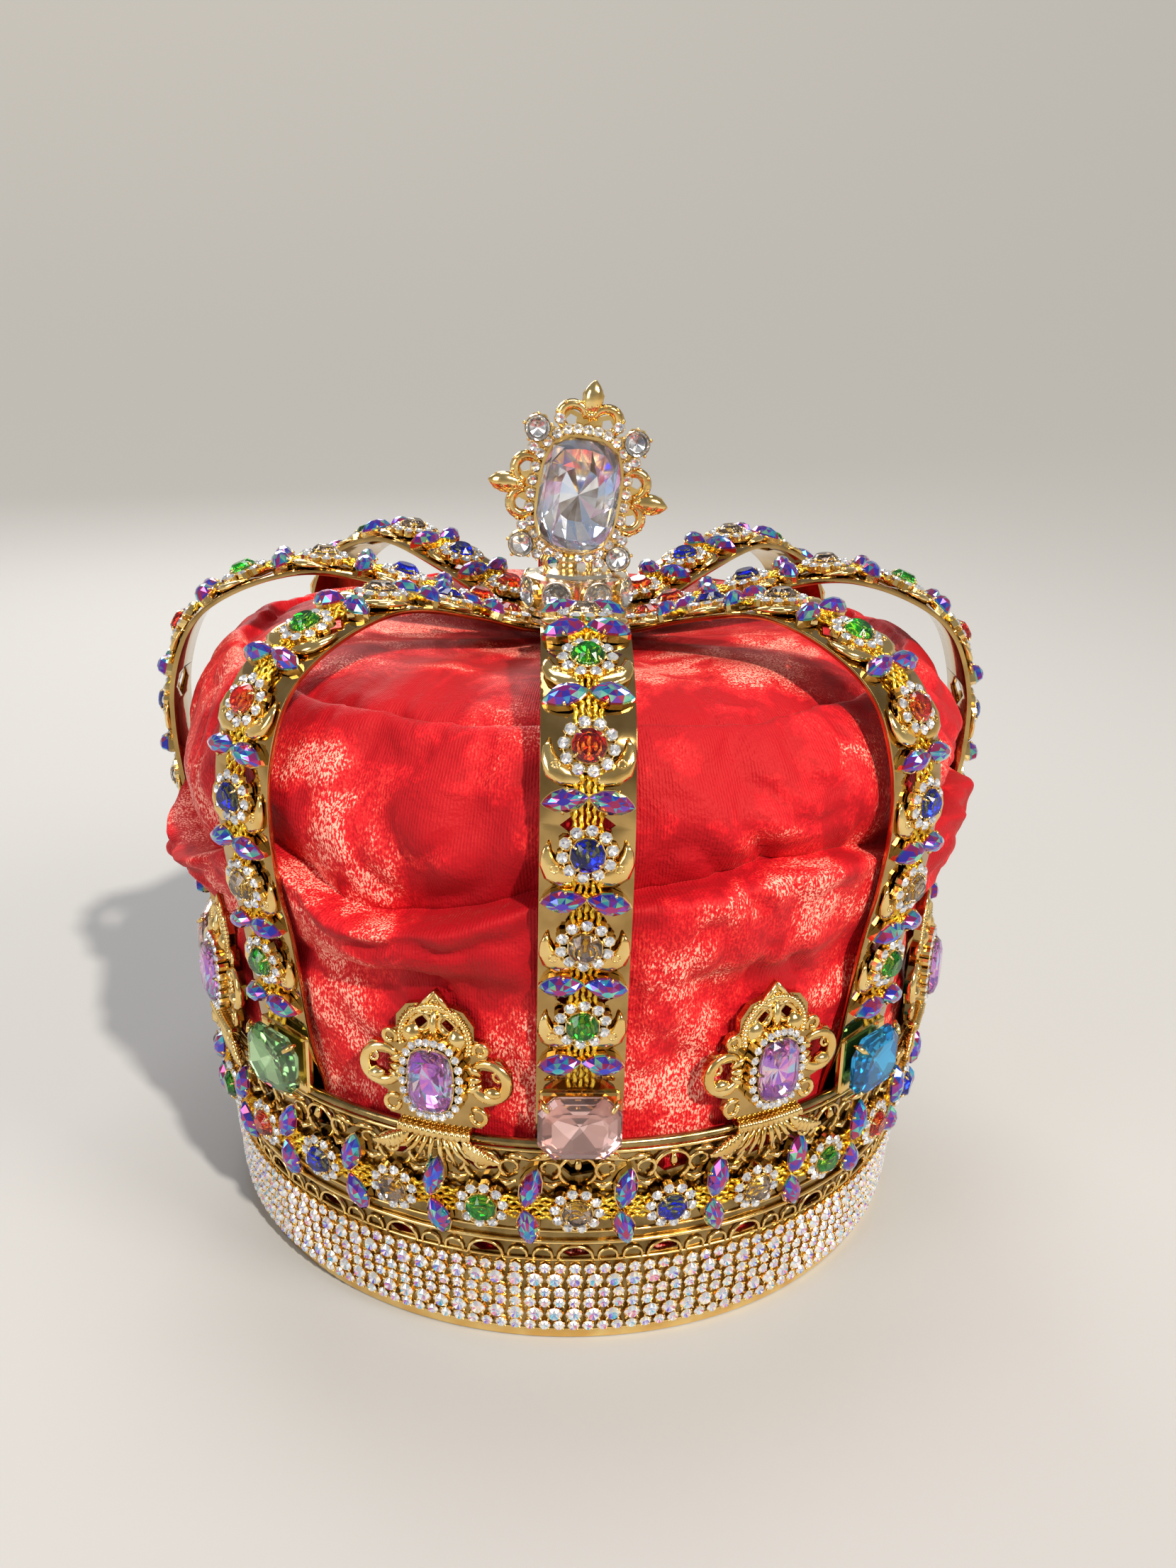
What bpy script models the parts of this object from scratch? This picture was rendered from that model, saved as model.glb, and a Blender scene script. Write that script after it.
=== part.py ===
"""Imperial crown: a red velvet cap inside a gold circlet with eight jewelled arches.

Metres, +Z up. The crown stands on its rim at Z = 0, centred on the Z axis, and its front
arch faces -Y. Azimuth 0 is the front, and azimuths grow towards +X.
"""
import bisect
from math import cos, hypot, pi, radians, sin

import bmesh
import bpy
from mathutils import Matrix, Vector

# Driving dimensions of the ring
GAP = 0.0003
BAND_RADIUS = 0.0900
BAND_FLARE = 0.0924
WALL = 0.0010
RIM_WIDTH = 0.0014
RIM_HEIGHT = 0.0028
MESH_TOP = 0.0236
MESH_PROUD = 0.0006
CIRCLET_TOP = 0.0550
RAIL_WIRE = 0.0011
RAIL_RADIUS = 0.0950
RAIL_SIDES = 5
PLAIN_STEPS = 40
CLUSTER_COUNT = 28

# Windows of the circlet: width, height and the height of the middle above the floor
SCALLOP = (0.0078, 0.0034, 0.0263)
LOOP = (0.0088, 0.0062, 0.0506)

# Stone chains: half sizes of the braid and of a round cluster on it
BRAID_HALF = 0.0026
BRAID_SLOPE = 0.0012
BRAID_HEIGHT = 0.0016
CHAIN_SEAT = 0.00045
CLUSTER_HALF = 0.00615
CLUSTER_SHOULDER = 0.0026
CLUSTER_TABLE = 0.0044
RING_CHAIN_HEIGHT = 0.0397
STONE_HEIGHT = 0.0044

# A pair of pointed stones: half length along the chain, half of its flat top along the chain,
# half width across the chain and half width of the top
ARCH_PAIR = (0.0038, 0.0013, 0.0089, 0.0065)
RING_PAIR = (0.0026, 0.0, 0.0106, 0.0086)

# Arches
ARCH_COUNT = 8
ARCH_WIDTH = 0.0190
ARCH_TOP_WIDTH = 0.0140
ARCH_THICKNESS = 0.0012
ARCH_TAPER_RADIUS = 0.0600
ARCH_FOOT_LENGTH = 0.0120
ARCH_CHAIN_START = 0.0172
ARCH_CHAIN_PITCH = 0.0203
ARCH_CHAIN_PAIRS = 8
FIRST_PAIR = 0.0240
WINDOW = (0.0110, 0.0084)
WINDOW_PLACES = (0.0390, 0.0800, 0.1200, 0.1600)

# Outer surface of an arch from its foot to the hub: radius, height
ARCH_PROFILE = (
    (0.0920, 0.0440),
    (0.0927, 0.0570),
    (0.0960, 0.0705),
    (0.0995, 0.0950),
    (0.1025, 0.1100),
    (0.1040, 0.1250),
    (0.1032, 0.1380),
    (0.0985, 0.1510),
    (0.0900, 0.1590),
    (0.0760, 0.1648),
    (0.0620, 0.1660),
    (0.0420, 0.1612),
    (0.0280, 0.1566),
    (0.0186, 0.1545),
)

# Stones and badges
FOOT_STONE = (0.0183, 0.0150, 0.0036)
FOOT_STONE_DEPTH = (0.0022, 0.0034)
FOOT_STONE_BACK = 0.09650
FOOT_STONE_HEIGHT = 0.0634
BADGE_BASE = (0.0958, 0.05770)
BADGE_AZIMUTHS = tuple(radians(turn) for turn in (26.4, 68, 112.5, 157.5, 202.5, 247.5, 295, 341))
BADGE_THICKNESS = 0.0016
BADGE_STONE = (0.0104, 0.0152, 0.0026)
BADGE_STONE_DEPTH = (0.0020, 0.0028)
BADGE_STONE_RISE = 0.0140

# Right half of a badge from its tip to its foot: across, up
BADGE_OUTLINE = (
    (0.0000, 0.0345),
    (0.0026, 0.0312),
    (0.0066, 0.0302),
    (0.0090, 0.0272),
    (0.0091, 0.0240),
    (0.0114, 0.0236),
    (0.0126, 0.0216),
    (0.0118, 0.0197),
    (0.0150, 0.0200),
    (0.0173, 0.0172),
    (0.0175, 0.0134),
    (0.0152, 0.0096),
    (0.0112, 0.0080),
    (0.0124, 0.0052),
    (0.0108, 0.0026),
    (0.0084, 0.0024),
    (0.0082, 0.0000),
)
# Openings on the right half of a badge: across, up, radius, sides
BADGE_HOLES = (
    (0.0124, 0.0146, 0.0030, 6),
    (0.0033, 0.0268, 0.0017, 4),
)

# Velvet cap: height, radius between two arches, radius under an arch
CAP_WALL = 0.0016
CAP_SAMPLES = 40
CAP_SWELL = (0.0, 0.28, 0.88)
CAP_ROWS = (
    (0.0006, 0.0880, 0.0880),
    (0.0570, 0.0926, 0.0910),
    (0.0930, 0.0942, 0.0970),
    (0.1000, 0.1004, 0.0980),
    (0.1110, 0.1036, 0.1003),
    (0.1160, 0.1028, 0.1008),
    (0.1190, 0.0982, 0.0975),
    (0.1280, 0.0996, 0.0992),
    (0.1380, 0.0972, 0.0972),
    (0.1460, 0.0915, 0.0920),
    (0.1496, 0.0860, 0.0870),
    (0.1484, 0.0825, 0.0830),
    (0.1530, 0.0620, 0.0620),
    (0.1500, 0.0230, 0.0230),
)
CAP_CENTRE = 0.1486
# Places where the cap's lower fold hangs or rises: azimuth, half width, shift of the fold, swell
CAP_SAGS = (
    (radians(-78), radians(60), -0.0140, 0.0026),
    (radians(42), radians(50), 0.0050, 0.0006),
    (radians(165), radians(70), -0.0080, 0.0010),
)
FOLD_LOW = 0.0930
FOLD_HEIGHT = 0.1160
FOLD_HIGH = 0.1480

# Hub, drum and cross ornament
HUB_APOTHEM = 0.0182
HUB_FLOOR = 0.1528
HUB_TOP = 0.1548
DRUM_RADIUS = 0.0132
DRUM_TOP = 0.1635
LID_RADIUS = 0.0100
LID_TOP = 0.1658
DRUM_SIDES = 8
DRUM_STONE_RADIUS = 0.0041
DRUM_STONE_TABLE = 0.0026
DRUM_STONE_REACH = 0.0148
DRUM_STONE_SUNK = 0.0008
CROSS_CENTRE = 0.1852
CROSS_ROLL = radians(8)
CROSS_THICKNESS = 0.0024
CROSS_STONE = (0.0200, 0.0280, 0.0056)
CROSS_STONE_DEPTH = (0.0018, 0.0040)
CORNER_STONE = (0.0125, 0.0145)
CORNER_STONE_RADIUS = 0.00325
CORNER_STONE_TABLE = 0.0020
CORNER_STONE_DEPTH = 0.0032

# Right half of the cross ornament, from its top leaf to its stem: across, up
CROSS_OUTLINE = (
    (0.0000, 0.0280),
    (0.0027, 0.0245),
    (0.0024, 0.0212),
    (0.0013, 0.0190),
    (0.0050, 0.0203),
    (0.0072, 0.0178),
    (0.0068, 0.0150),
    (0.0094, 0.0156),
    (0.0108, 0.0178),
    (0.0140, 0.0178),
    (0.0158, 0.0152),
    (0.0150, 0.0122),
    (0.0122, 0.0108),
    (0.0120, 0.0080),
    (0.0152, 0.0076),
    (0.0172, 0.0050),
    (0.0160, 0.0018),
    (0.0185, 0.0025),
    (0.0212, 0.0020),
    (0.0230, 0.0000),
    (0.0212, -0.0020),
    (0.0185, -0.0025),
    (0.0160, -0.0018),
    (0.0172, -0.0050),
    (0.0152, -0.0076),
    (0.0120, -0.0080),
    (0.0122, -0.0108),
    (0.0150, -0.0122),
    (0.0158, -0.0152),
    (0.0140, -0.0178),
    (0.0108, -0.0178),
    (0.0094, -0.0156),
    (0.0030, -0.0156),
    (0.0024, -0.0186),
)
# Openings on the right half of the cross: across, up, radius, sides
CROSS_HOLES = (
    (0.0045, 0.0176, 0.0015, 5),
    (0.0142, 0.0048, 0.0017, 5),
    (0.0142, -0.0048, 0.0017, 5),
)

GOLD = (0.83, 0.58, 0.20)
DARK_GOLD = (0.60, 0.44, 0.20)
RED_VELVET = (0.55, 0.01, 0.02)
CLEAR = (0.90, 0.92, 0.95)
VOLCANO = (0.45, 0.16, 0.55)
FOOT_COLOURS = (
    (0.93, 0.72, 0.78),
    (0.45, 0.80, 0.90),
    (0.75, 0.90, 0.70),
    (0.93, 0.72, 0.78),
    (0.45, 0.80, 0.90),
    (0.75, 0.90, 0.70),
    (0.93, 0.72, 0.78),
    (0.70, 0.88, 0.68),
)


def clear_scene():
    for item in list(bpy.data.objects):
        bpy.data.objects.remove(item)


def collection(name):
    made = bpy.data.collections.new(name)
    bpy.context.scene.collection.children.link(made)
    return made


def material(name, colour, roughness, metallic):
    made = bpy.data.materials.new(name)
    made.use_nodes = True
    shader = made.node_tree.nodes["Principled BSDF"]
    shader.inputs["Base Color"].default_value = (*colour, 1.0)
    shader.inputs["Roughness"].default_value = roughness
    shader.inputs["Metallic"].default_value = metallic
    return made


def place(name, mesh, finish, azimuth=0.0):
    """Add a part that hangs from the crown's empty, turned to its azimuth."""
    made = bpy.data.objects.new(name, mesh)
    parts.objects.link(made)
    made.parent = crown
    made.rotation_euler.z = azimuth
    if not mesh.materials:
        mesh.materials.append(finish)
    return made


def as_cutter(made):
    for owner in list(made.users_collection):
        owner.objects.unlink(made)
    cutters.objects.link(made)
    made.hide_render = True
    made.display_type = "WIRE"


def evaluated_mesh(made):
    """The mesh that an object's modifiers give; the object itself is removed."""
    graph = bpy.context.evaluated_depsgraph_get()
    mesh = bpy.data.meshes.new_from_object(made.evaluated_get(graph))
    mesh.name = made.name
    bpy.data.objects.remove(made)
    return mesh


def mesh_of(bm, name):
    bmesh.ops.recalc_face_normals(bm, faces=bm.faces)
    mesh = bpy.data.meshes.new(name)
    bm.to_mesh(mesh)
    bm.free()
    return mesh


def turned(name, profile, steps, finish):
    """Turn a closed profile of (radius, height) points round the Z axis."""
    mesh = bpy.data.meshes.new(name)
    count = len(profile)
    edges = [(i, (i + 1) % count) for i in range(count)]
    mesh.from_pydata([(r, 0.0, z) for r, z in profile], edges, [])
    made = place(name, mesh, finish)
    screw = made.modifiers.new("turn", "SCREW")
    screw.steps = steps
    screw.render_steps = steps
    screw.use_merge_vertices = True
    screw.merge_threshold = 0.00001
    return made


def cut(made, cutter, operation="DIFFERENCE"):
    boolean = made.modifiers.new("cut", "BOOLEAN")
    boolean.operation = operation
    boolean.object = cutter
    as_cutter(cutter)


def band_radius(height):
    return BAND_RADIUS + BAND_FLARE * height


def make_base_rim():
    inner = BAND_RADIUS - RIM_WIDTH
    lean = BAND_FLARE * RIM_HEIGHT
    profile = (
        (BAND_RADIUS + lean, RIM_HEIGHT),
        (BAND_RADIUS, 0.0),
        (inner, 0.0),
        (inner + lean, RIM_HEIGHT),
    )
    turned("base_rim", profile, PLAIN_STEPS, gold)


def make_rhinestone_band():
    low = RIM_HEIGHT + GAP
    profile = (
        (band_radius(MESH_TOP) + MESH_PROUD, MESH_TOP),
        (band_radius(low) + MESH_PROUD, low),
        (band_radius(low) - WALL, low),
        (band_radius(MESH_TOP) - WALL, MESH_TOP),
    )
    turned("rhinestone_band", profile, PLAIN_STEPS, rhinestone)


def window_cutters(name, sides, places, depth):
    """One mesh of pointed prisms; each place is a matrix, a width and a height."""
    bm = bmesh.new()
    for matrix, width, height in places:
        stretch = Matrix.Diagonal((width / 2, depth, height / 2, 1.0))
        upright = Matrix.Rotation(-pi / 2, 4, "X") @ Matrix.Rotation(pi / 2, 4, "Z")
        bmesh.ops.create_cone(
            bm, cap_ends=True, segments=sides, radius1=1.0, radius2=1.0, depth=1.0,
            matrix=matrix @ stretch @ upright)
    return place(name, mesh_of(bm, name), gold)


def make_circlet():
    steps = 2 * CLUSTER_COUNT
    low = MESH_TOP + GAP
    profile = (
        (band_radius(CIRCLET_TOP), CIRCLET_TOP),
        (band_radius(low), low),
        (band_radius(low) - WALL, low),
        (band_radius(CIRCLET_TOP) - WALL, CIRCLET_TOP),
    )
    circlet = turned("circlet", profile, steps, gold)
    circlet.rotation_euler.z = pi / steps
    places = []
    for index in range(CLUSTER_COUNT):
        turn = Matrix.Rotation(2 * pi * index / CLUSTER_COUNT, 4, "Z")
        for width, height, middle in (SCALLOP, LOOP):
            out = Matrix.Translation((0.0, -band_radius(middle), middle))
            places.append((turn @ out, width, height))
    cut(circlet, window_cutters("circlet_windows", 5, places, 6 * WALL))


def make_top_rail():
    bpy.ops.mesh.primitive_torus_add(
        major_segments=PLAIN_STEPS, minor_segments=RAIL_SIDES, major_radius=RAIL_RADIUS, minor_radius=RAIL_WIRE)
    torus = bpy.context.object
    mesh = torus.data
    bpy.data.objects.remove(torus)
    rail = place("top_rail", mesh, dark_gold)
    rail.location.z = CIRCLET_TOP + GAP + RAIL_WIRE


def stone_rows(middle, reach, shoulder, half, table_half):
    """Chain rows of one stone: braid, girdle and table, braid. No shoulder gives a ridge."""
    shoulders = (middle - shoulder, middle + shoulder) if shoulder else (middle,)
    ends = (middle - reach, middle + reach)
    rows = [(along, BRAID_HALF, BRAID_HALF - BRAID_SLOPE, BRAID_HEIGHT) for along in ends]
    rows += [(along, half, table_half, STONE_HEIGHT) for along in shoulders]
    return rows


def chain_stations(pairs, clusters, pair_shape):
    """Rows of length along the chain, base half width, top half width and top height."""
    rows = []
    for middle in clusters:
        rows += stone_rows(middle, CLUSTER_HALF, CLUSTER_SHOULDER, CLUSTER_HALF, CLUSTER_TABLE)
    for middle in pairs:
        rows += stone_rows(middle, *pair_shape)
    return sorted(rows)


def lofted_chain(name, rows, surface, closed):
    """Loft a chain of stones along a surface given as a function of along, across and height."""
    bm = bmesh.new()
    sections = []
    for along, half, top_half, height in rows:
        corners = (
            surface(along, -half, 0.0),
            surface(along, half, 0.0),
            surface(along, top_half, height),
            surface(along, -top_half, height),
        )
        sections.append([bm.verts.new(corner) for corner in corners])
    count = len(sections)
    for index in range(count if closed else count - 1):
        near = sections[index]
        far = sections[(index + 1) % count]
        for side in range(4):
            after = (side + 1) % 4
            bm.faces.new((near[side], near[after], far[after], far[side]))
    if not closed:
        bm.faces.new(sections[0])
        bm.faces.new(sections[-1])
    return mesh_of(bm, name)


def make_circlet_chain():
    reach = band_radius(RING_CHAIN_HEIGHT)
    pitch = 2 * pi * reach / CLUSTER_COUNT
    clusters = [pitch * index for index in range(CLUSTER_COUNT)]
    pairs = [pitch * (index + 0.5) for index in range(CLUSTER_COUNT)]
    rows = chain_stations(pairs, clusters, RING_PAIR)

    def on_circlet(along, across, height):
        azimuth = along / reach
        level = RING_CHAIN_HEIGHT + across
        radius = band_radius(level) + CHAIN_SEAT + height
        return Vector((radius * sin(azimuth), -radius * cos(azimuth), level))

    mesh = lofted_chain("circlet_chain", rows, on_circlet, True)
    place("circlet_chain", mesh, stones)


def smooth_profile(points, parts_between):
    """A Catmull-Rom curve through the points, as (length along it, radius, height) rows."""
    ends = [points[0], *points, points[-1]]
    rows = []
    length = 0.0
    for index in range(1, len(ends) - 2):
        before, start, stop, after = ends[index - 1:index + 3]
        for part in range(parts_between):
            t = part / parts_between
            here = [
                0.5 * (2 * b + (c - a) * t + (2 * a - 5 * b + 4 * c - d) * t ** 2
                       + (3 * b - a - 3 * c + d) * t ** 3)
                for a, b, c, d in zip(before, start, stop, after)]
            if rows:
                length += hypot(here[0] - rows[-1][1], here[1] - rows[-1][2])
            rows.append((length, *here))
    length += hypot(points[-1][0] - rows[-1][1], points[-1][1] - rows[-1][2])
    rows.append((length, *points[-1]))
    return rows


def arch_frame(along):
    """The point, tangent and outward normal in the arch's own plane at a length from its foot."""
    lengths = [row[0] for row in arch_curve]
    index = min(max(bisect.bisect(lengths, along), 1), len(arch_curve) - 1)
    low, high = arch_curve[index - 1], arch_curve[index]
    share = (along - low[0]) / (high[0] - low[0])
    radius = low[1] + share * (high[1] - low[1])
    height = low[2] + share * (high[2] - low[2])
    wide = 3
    start = arch_curve[max(index - wide, 0)]
    stop = arch_curve[min(index + wide, len(arch_curve) - 1)]
    reach = hypot(stop[1] - start[1], stop[2] - start[2])
    tangent = ((stop[1] - start[1]) / reach, (stop[2] - start[2]) / reach)
    return radius, height, tangent, (tangent[1], -tangent[0])


def on_arch(along, across, height):
    """A point on the front arch: the front arch lies in the plane X = 0 on the -Y side."""
    radius, level, _, normal = arch_frame(along)
    return Vector((across, -(radius + normal[0] * height), level + normal[1] * height))


def arch_half_width(radius):
    share = min(radius / ARCH_TAPER_RADIUS, 1.0)
    return (ARCH_TOP_WIDTH + (ARCH_WIDTH - ARCH_TOP_WIDTH) * share ** 0.5) / 2


def arch_strip_mesh():
    bm = bmesh.new()
    sections = []
    for radius, height in ARCH_PROFILE:
        half = arch_half_width(radius) if radius > HUB_APOTHEM + 0.001 else ARCH_TOP_WIDTH / 2
        sections.append((bm.verts.new((-half, -radius, height)), bm.verts.new((half, -radius, height))))
    for low, high in zip(sections, sections[1:]):
        bm.faces.new((low[0], low[1], high[1], high[0]))
    mesh = bpy.data.meshes.new("arch")
    bm.to_mesh(mesh)
    bm.free()
    strip = place("arch", mesh, gold)
    solidify = strip.modifiers.new("thickness", "SOLIDIFY")
    solidify.thickness = ARCH_THICKNESS
    solidify.offset = -1.0
    places = []
    for along in WINDOW_PLACES:
        radius, height, _, normal = arch_frame(along + ARCH_FOOT_LENGTH)
        out = Vector((0.0, -normal[0], normal[1]))
        side = Vector((1.0, 0.0, 0.0))
        axes = Matrix((side, -out, side.cross(-out))).transposed().to_4x4()
        places.append((Matrix.Translation((0.0, -radius, height)) @ axes, *WINDOW))
    cutter = window_cutters("arch_windows", 4, places, 6 * ARCH_THICKNESS)
    cut(strip, cutter)
    made = evaluated_mesh(strip)
    bpy.data.objects.remove(cutter)
    return made


def arch_chain_mesh():
    first = FIRST_PAIR + ARCH_FOOT_LENGTH
    pairs = [first + ARCH_CHAIN_PITCH * index for index in range(ARCH_CHAIN_PAIRS)]
    clusters = [middle + ARCH_CHAIN_PITCH / 2 for middle in pairs]
    rows = chain_stations(pairs, clusters, ARCH_PAIR)
    start = ARCH_CHAIN_START + ARCH_FOOT_LENGTH
    rows.insert(0, (start, BRAID_HALF, BRAID_HALF - BRAID_SLOPE, BRAID_HEIGHT))

    def above_strip(along, across, height):
        return on_arch(along, across, height + CHAIN_SEAT)

    return lofted_chain("arch_chain", rows, above_strip, False)


def make_arches():
    strip = arch_strip_mesh()
    chain = arch_chain_mesh()
    for index in range(ARCH_COUNT):
        azimuth = 2 * pi * index / ARCH_COUNT
        place(f"arch_{index + 1}", strip, gold, azimuth)
        place(f"arch_chain_{index + 1}", chain, stones, azimuth)


def cut_stone_mesh(name, size, depth, table=0.72):
    """An emerald cut: a cut-cornered girdle, with a sloping crown up to a flat table on -Y."""
    width, height, corner = size
    girdle, crown_depth = depth
    bm = bmesh.new()
    bmesh.ops.create_cube(bm, size=1.0, matrix=Matrix.Diagonal((width, girdle, height, 1.0)))
    bmesh.ops.translate(bm, verts=bm.verts, vec=(0.0, -girdle / 2, 0.0))
    deep = [edge for edge in bm.edges if abs(edge.verts[0].co.y - edge.verts[1].co.y) > girdle / 2]
    bmesh.ops.bevel(bm, geom=deep, offset=corner, segments=1, affect="EDGES", profile=0.5)
    front = min(bm.faces, key=lambda face: face.calc_center_median().y)
    raised = bmesh.ops.extrude_discrete_faces(bm, faces=[front])["faces"][0]
    for vert in raised.verts:
        vert.co = Vector((vert.co.x * table, vert.co.y - crown_depth, vert.co.z * table))
    return mesh_of(bm, name)


def make_foot_stones():
    mesh = cut_stone_mesh("foot_stone", FOOT_STONE, FOOT_STONE_DEPTH)
    for index in range(ARCH_COUNT):
        azimuth = 2 * pi * index / ARCH_COUNT
        finish = material(f"crystal_foot_{index + 1}", FOOT_COLOURS[index], 0.05, 0.0)
        stone = place(f"foot_stone_{index + 1}", mesh.copy(), finish, azimuth)
        stone.location = (
            FOOT_STONE_BACK * sin(azimuth), -FOOT_STONE_BACK * cos(azimuth), FOOT_STONE_HEIGHT)


def filigree_mesh(name, outline, holes, thickness):
    """A flat plate in the XZ plane from a half outline and its openings, both mirrored in X."""
    loops = [[*outline, *[(-x, z) for x, z in reversed(outline) if x > 0.0]]]
    for across, up, radius, sides in holes:
        for side in (1, -1):
            turns = [2 * pi * index / sides for index in range(sides)]
            loops.append([(side * (across + radius * cos(turn)), up + radius * sin(turn)) for turn in turns])
    curve = bpy.data.curves.new(name, "CURVE")
    curve.dimensions = "2D"
    curve.fill_mode = "BOTH"
    curve.extrude = thickness / 2
    for loop in loops:
        spline = curve.splines.new("POLY")
        spline.points.add(len(loop) - 1)
        for point, (across, up) in zip(spline.points, loop):
            point.co = (across, up, 0.0, 1.0)
        spline.use_cyclic_u = True
    plate = bpy.data.objects.new(name, curve)
    parts.objects.link(plate)
    mesh = evaluated_mesh(plate)
    bm = bmesh.new()
    bm.from_mesh(mesh)
    bmesh.ops.remove_doubles(bm, verts=bm.verts, dist=0.00001)
    bmesh.ops.rotate(bm, verts=bm.verts, matrix=Matrix.Rotation(pi / 2, 3, "X"))
    return mesh_of(bm, name)


def make_badges():
    plate = filigree_mesh("badge", BADGE_OUTLINE, BADGE_HOLES, BADGE_THICKNESS)
    stone = cut_stone_mesh("badge_stone", BADGE_STONE, BADGE_STONE_DEPTH)
    radius, height = BADGE_BASE
    plate.transform(Matrix.Translation((0.0, -radius, height)))
    front = radius + BADGE_THICKNESS / 2 + GAP
    stone.transform(Matrix.Translation((0.0, -front, height + BADGE_STONE_RISE)))
    for index, azimuth in enumerate(BADGE_AZIMUTHS):
        place(f"badge_{index + 1}", plate, gold, azimuth)
        place(f"badge_stone_{index + 1}", stone, aurora, azimuth)


def swell_share(sample):
    """How far a cap sample stands between two arches: 0 under an arch, 1 at mid panel."""
    per_panel = CAP_SAMPLES // ARCH_COUNT
    step = sample % per_panel
    return CAP_SWELL[min(step, per_panel - step)]


def sag_at(azimuth):
    """The shift of the lower fold and the extra swell of the cap at an azimuth."""
    shift = 0.0
    swell = 0.0
    for middle, half, fold_shift, extra in CAP_SAGS:
        apart = abs((azimuth - middle + pi) % (2 * pi) - pi)
        if apart < half:
            share = 0.5 + 0.5 * cos(pi * apart / half)
            shift += share * fold_shift
            swell += share * extra
    return shift, swell


def make_velvet_cap():
    bm = bmesh.new()
    rings = []
    for height, between, under in CAP_ROWS:
        ring = []
        for sample in range(CAP_SAMPLES):
            azimuth = 2 * pi * sample / CAP_SAMPLES
            shift, extra = sag_at(azimuth)
            share = swell_share(sample)
            weight = 0.0
            if FOLD_LOW < height <= FOLD_HEIGHT:
                weight = (height - FOLD_LOW) / (FOLD_HEIGHT - FOLD_LOW)
            elif FOLD_HEIGHT < height < FOLD_HIGH:
                weight = (FOLD_HIGH - height) / (FOLD_HIGH - FOLD_HEIGHT)
            radius = under + share * (between - under) + share * weight ** 2 * extra
            level = height + share * weight * shift
            ring.append(bm.verts.new((radius * sin(azimuth), -radius * cos(azimuth), level)))
        rings.append(ring)
    for low, high in zip(rings, rings[1:]):
        for sample in range(CAP_SAMPLES):
            after = (sample + 1) % CAP_SAMPLES
            bm.faces.new((low[sample], low[after], high[after], high[sample]))
    centre = bm.verts.new((0.0, 0.0, CAP_CENTRE))
    for sample in range(CAP_SAMPLES):
        bm.faces.new((rings[-1][sample], rings[-1][(sample + 1) % CAP_SAMPLES], centre))
    mesh = bpy.data.meshes.new("velvet_cap")
    bm.to_mesh(mesh)
    bm.free()
    cap = place("velvet_cap", mesh, velvet)
    solidify = cap.modifiers.new("cloth", "SOLIDIFY")
    solidify.thickness = CAP_WALL
    solidify.offset = -1.0


def make_hub():
    corner = HUB_APOTHEM / cos(pi / ARCH_COUNT)
    bm = bmesh.new()
    middle = Matrix.Translation((0.0, 0.0, (HUB_FLOOR + HUB_TOP) / 2))
    turn = Matrix.Rotation(pi / ARCH_COUNT, 4, "Z")
    bmesh.ops.create_cone(
        bm, cap_ends=True, segments=ARCH_COUNT, radius1=corner, radius2=corner,
        depth=HUB_TOP - HUB_FLOOR, matrix=middle @ turn)
    place("hub", mesh_of(bm, "hub"), gold)


def round_stone(bm, matrix, radius, table, depth):
    """An eight-sided round stone that grows from radius to table along the matrix's -Y."""
    towards = Matrix.Rotation(pi / 2, 4, "X") @ Matrix.Translation((0.0, 0.0, depth / 2))
    bmesh.ops.create_cone(
        bm, cap_ends=True, segments=8, radius1=radius, radius2=table, depth=depth, matrix=matrix @ towards)


def make_monde_drum():
    profile = (
        (0.0, LID_TOP),
        (LID_RADIUS * 0.5, LID_TOP),
        (LID_RADIUS, DRUM_TOP + 0.0008),
        (DRUM_RADIUS, DRUM_TOP),
        (DRUM_RADIUS, HUB_TOP + GAP),
        (0.0, HUB_TOP + GAP),
    )
    mesh = bpy.data.meshes.new("monde_drum")
    edges = [(index, index + 1) for index in range(len(profile) - 1)]
    mesh.from_pydata([(r, 0.0, z) for r, z in profile], edges, [])
    drum = place("monde_drum", mesh, gold)
    screw = drum.modifiers.new("turn", "SCREW")
    screw.steps = DRUM_SIDES
    screw.render_steps = DRUM_SIDES
    screw.use_merge_vertices = True
    screw.merge_threshold = 0.00001
    bm = bmesh.new()
    back = DRUM_RADIUS * cos(pi / DRUM_SIDES) - DRUM_STONE_SUNK
    middle = (HUB_TOP + DRUM_TOP) / 2
    for index in range(ARCH_COUNT):
        turn = Matrix.Rotation(2 * pi * (index + 0.5) / ARCH_COUNT, 4, "Z")
        out = Matrix.Translation((0.0, -back, middle))
        round_stone(bm, turn @ out, DRUM_STONE_RADIUS, DRUM_STONE_TABLE, DRUM_STONE_REACH - back)
    ring = place("monde_stones", mesh_of(bm, "monde_stones"), rhinestone)
    cut(drum, ring, "UNION")


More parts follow.
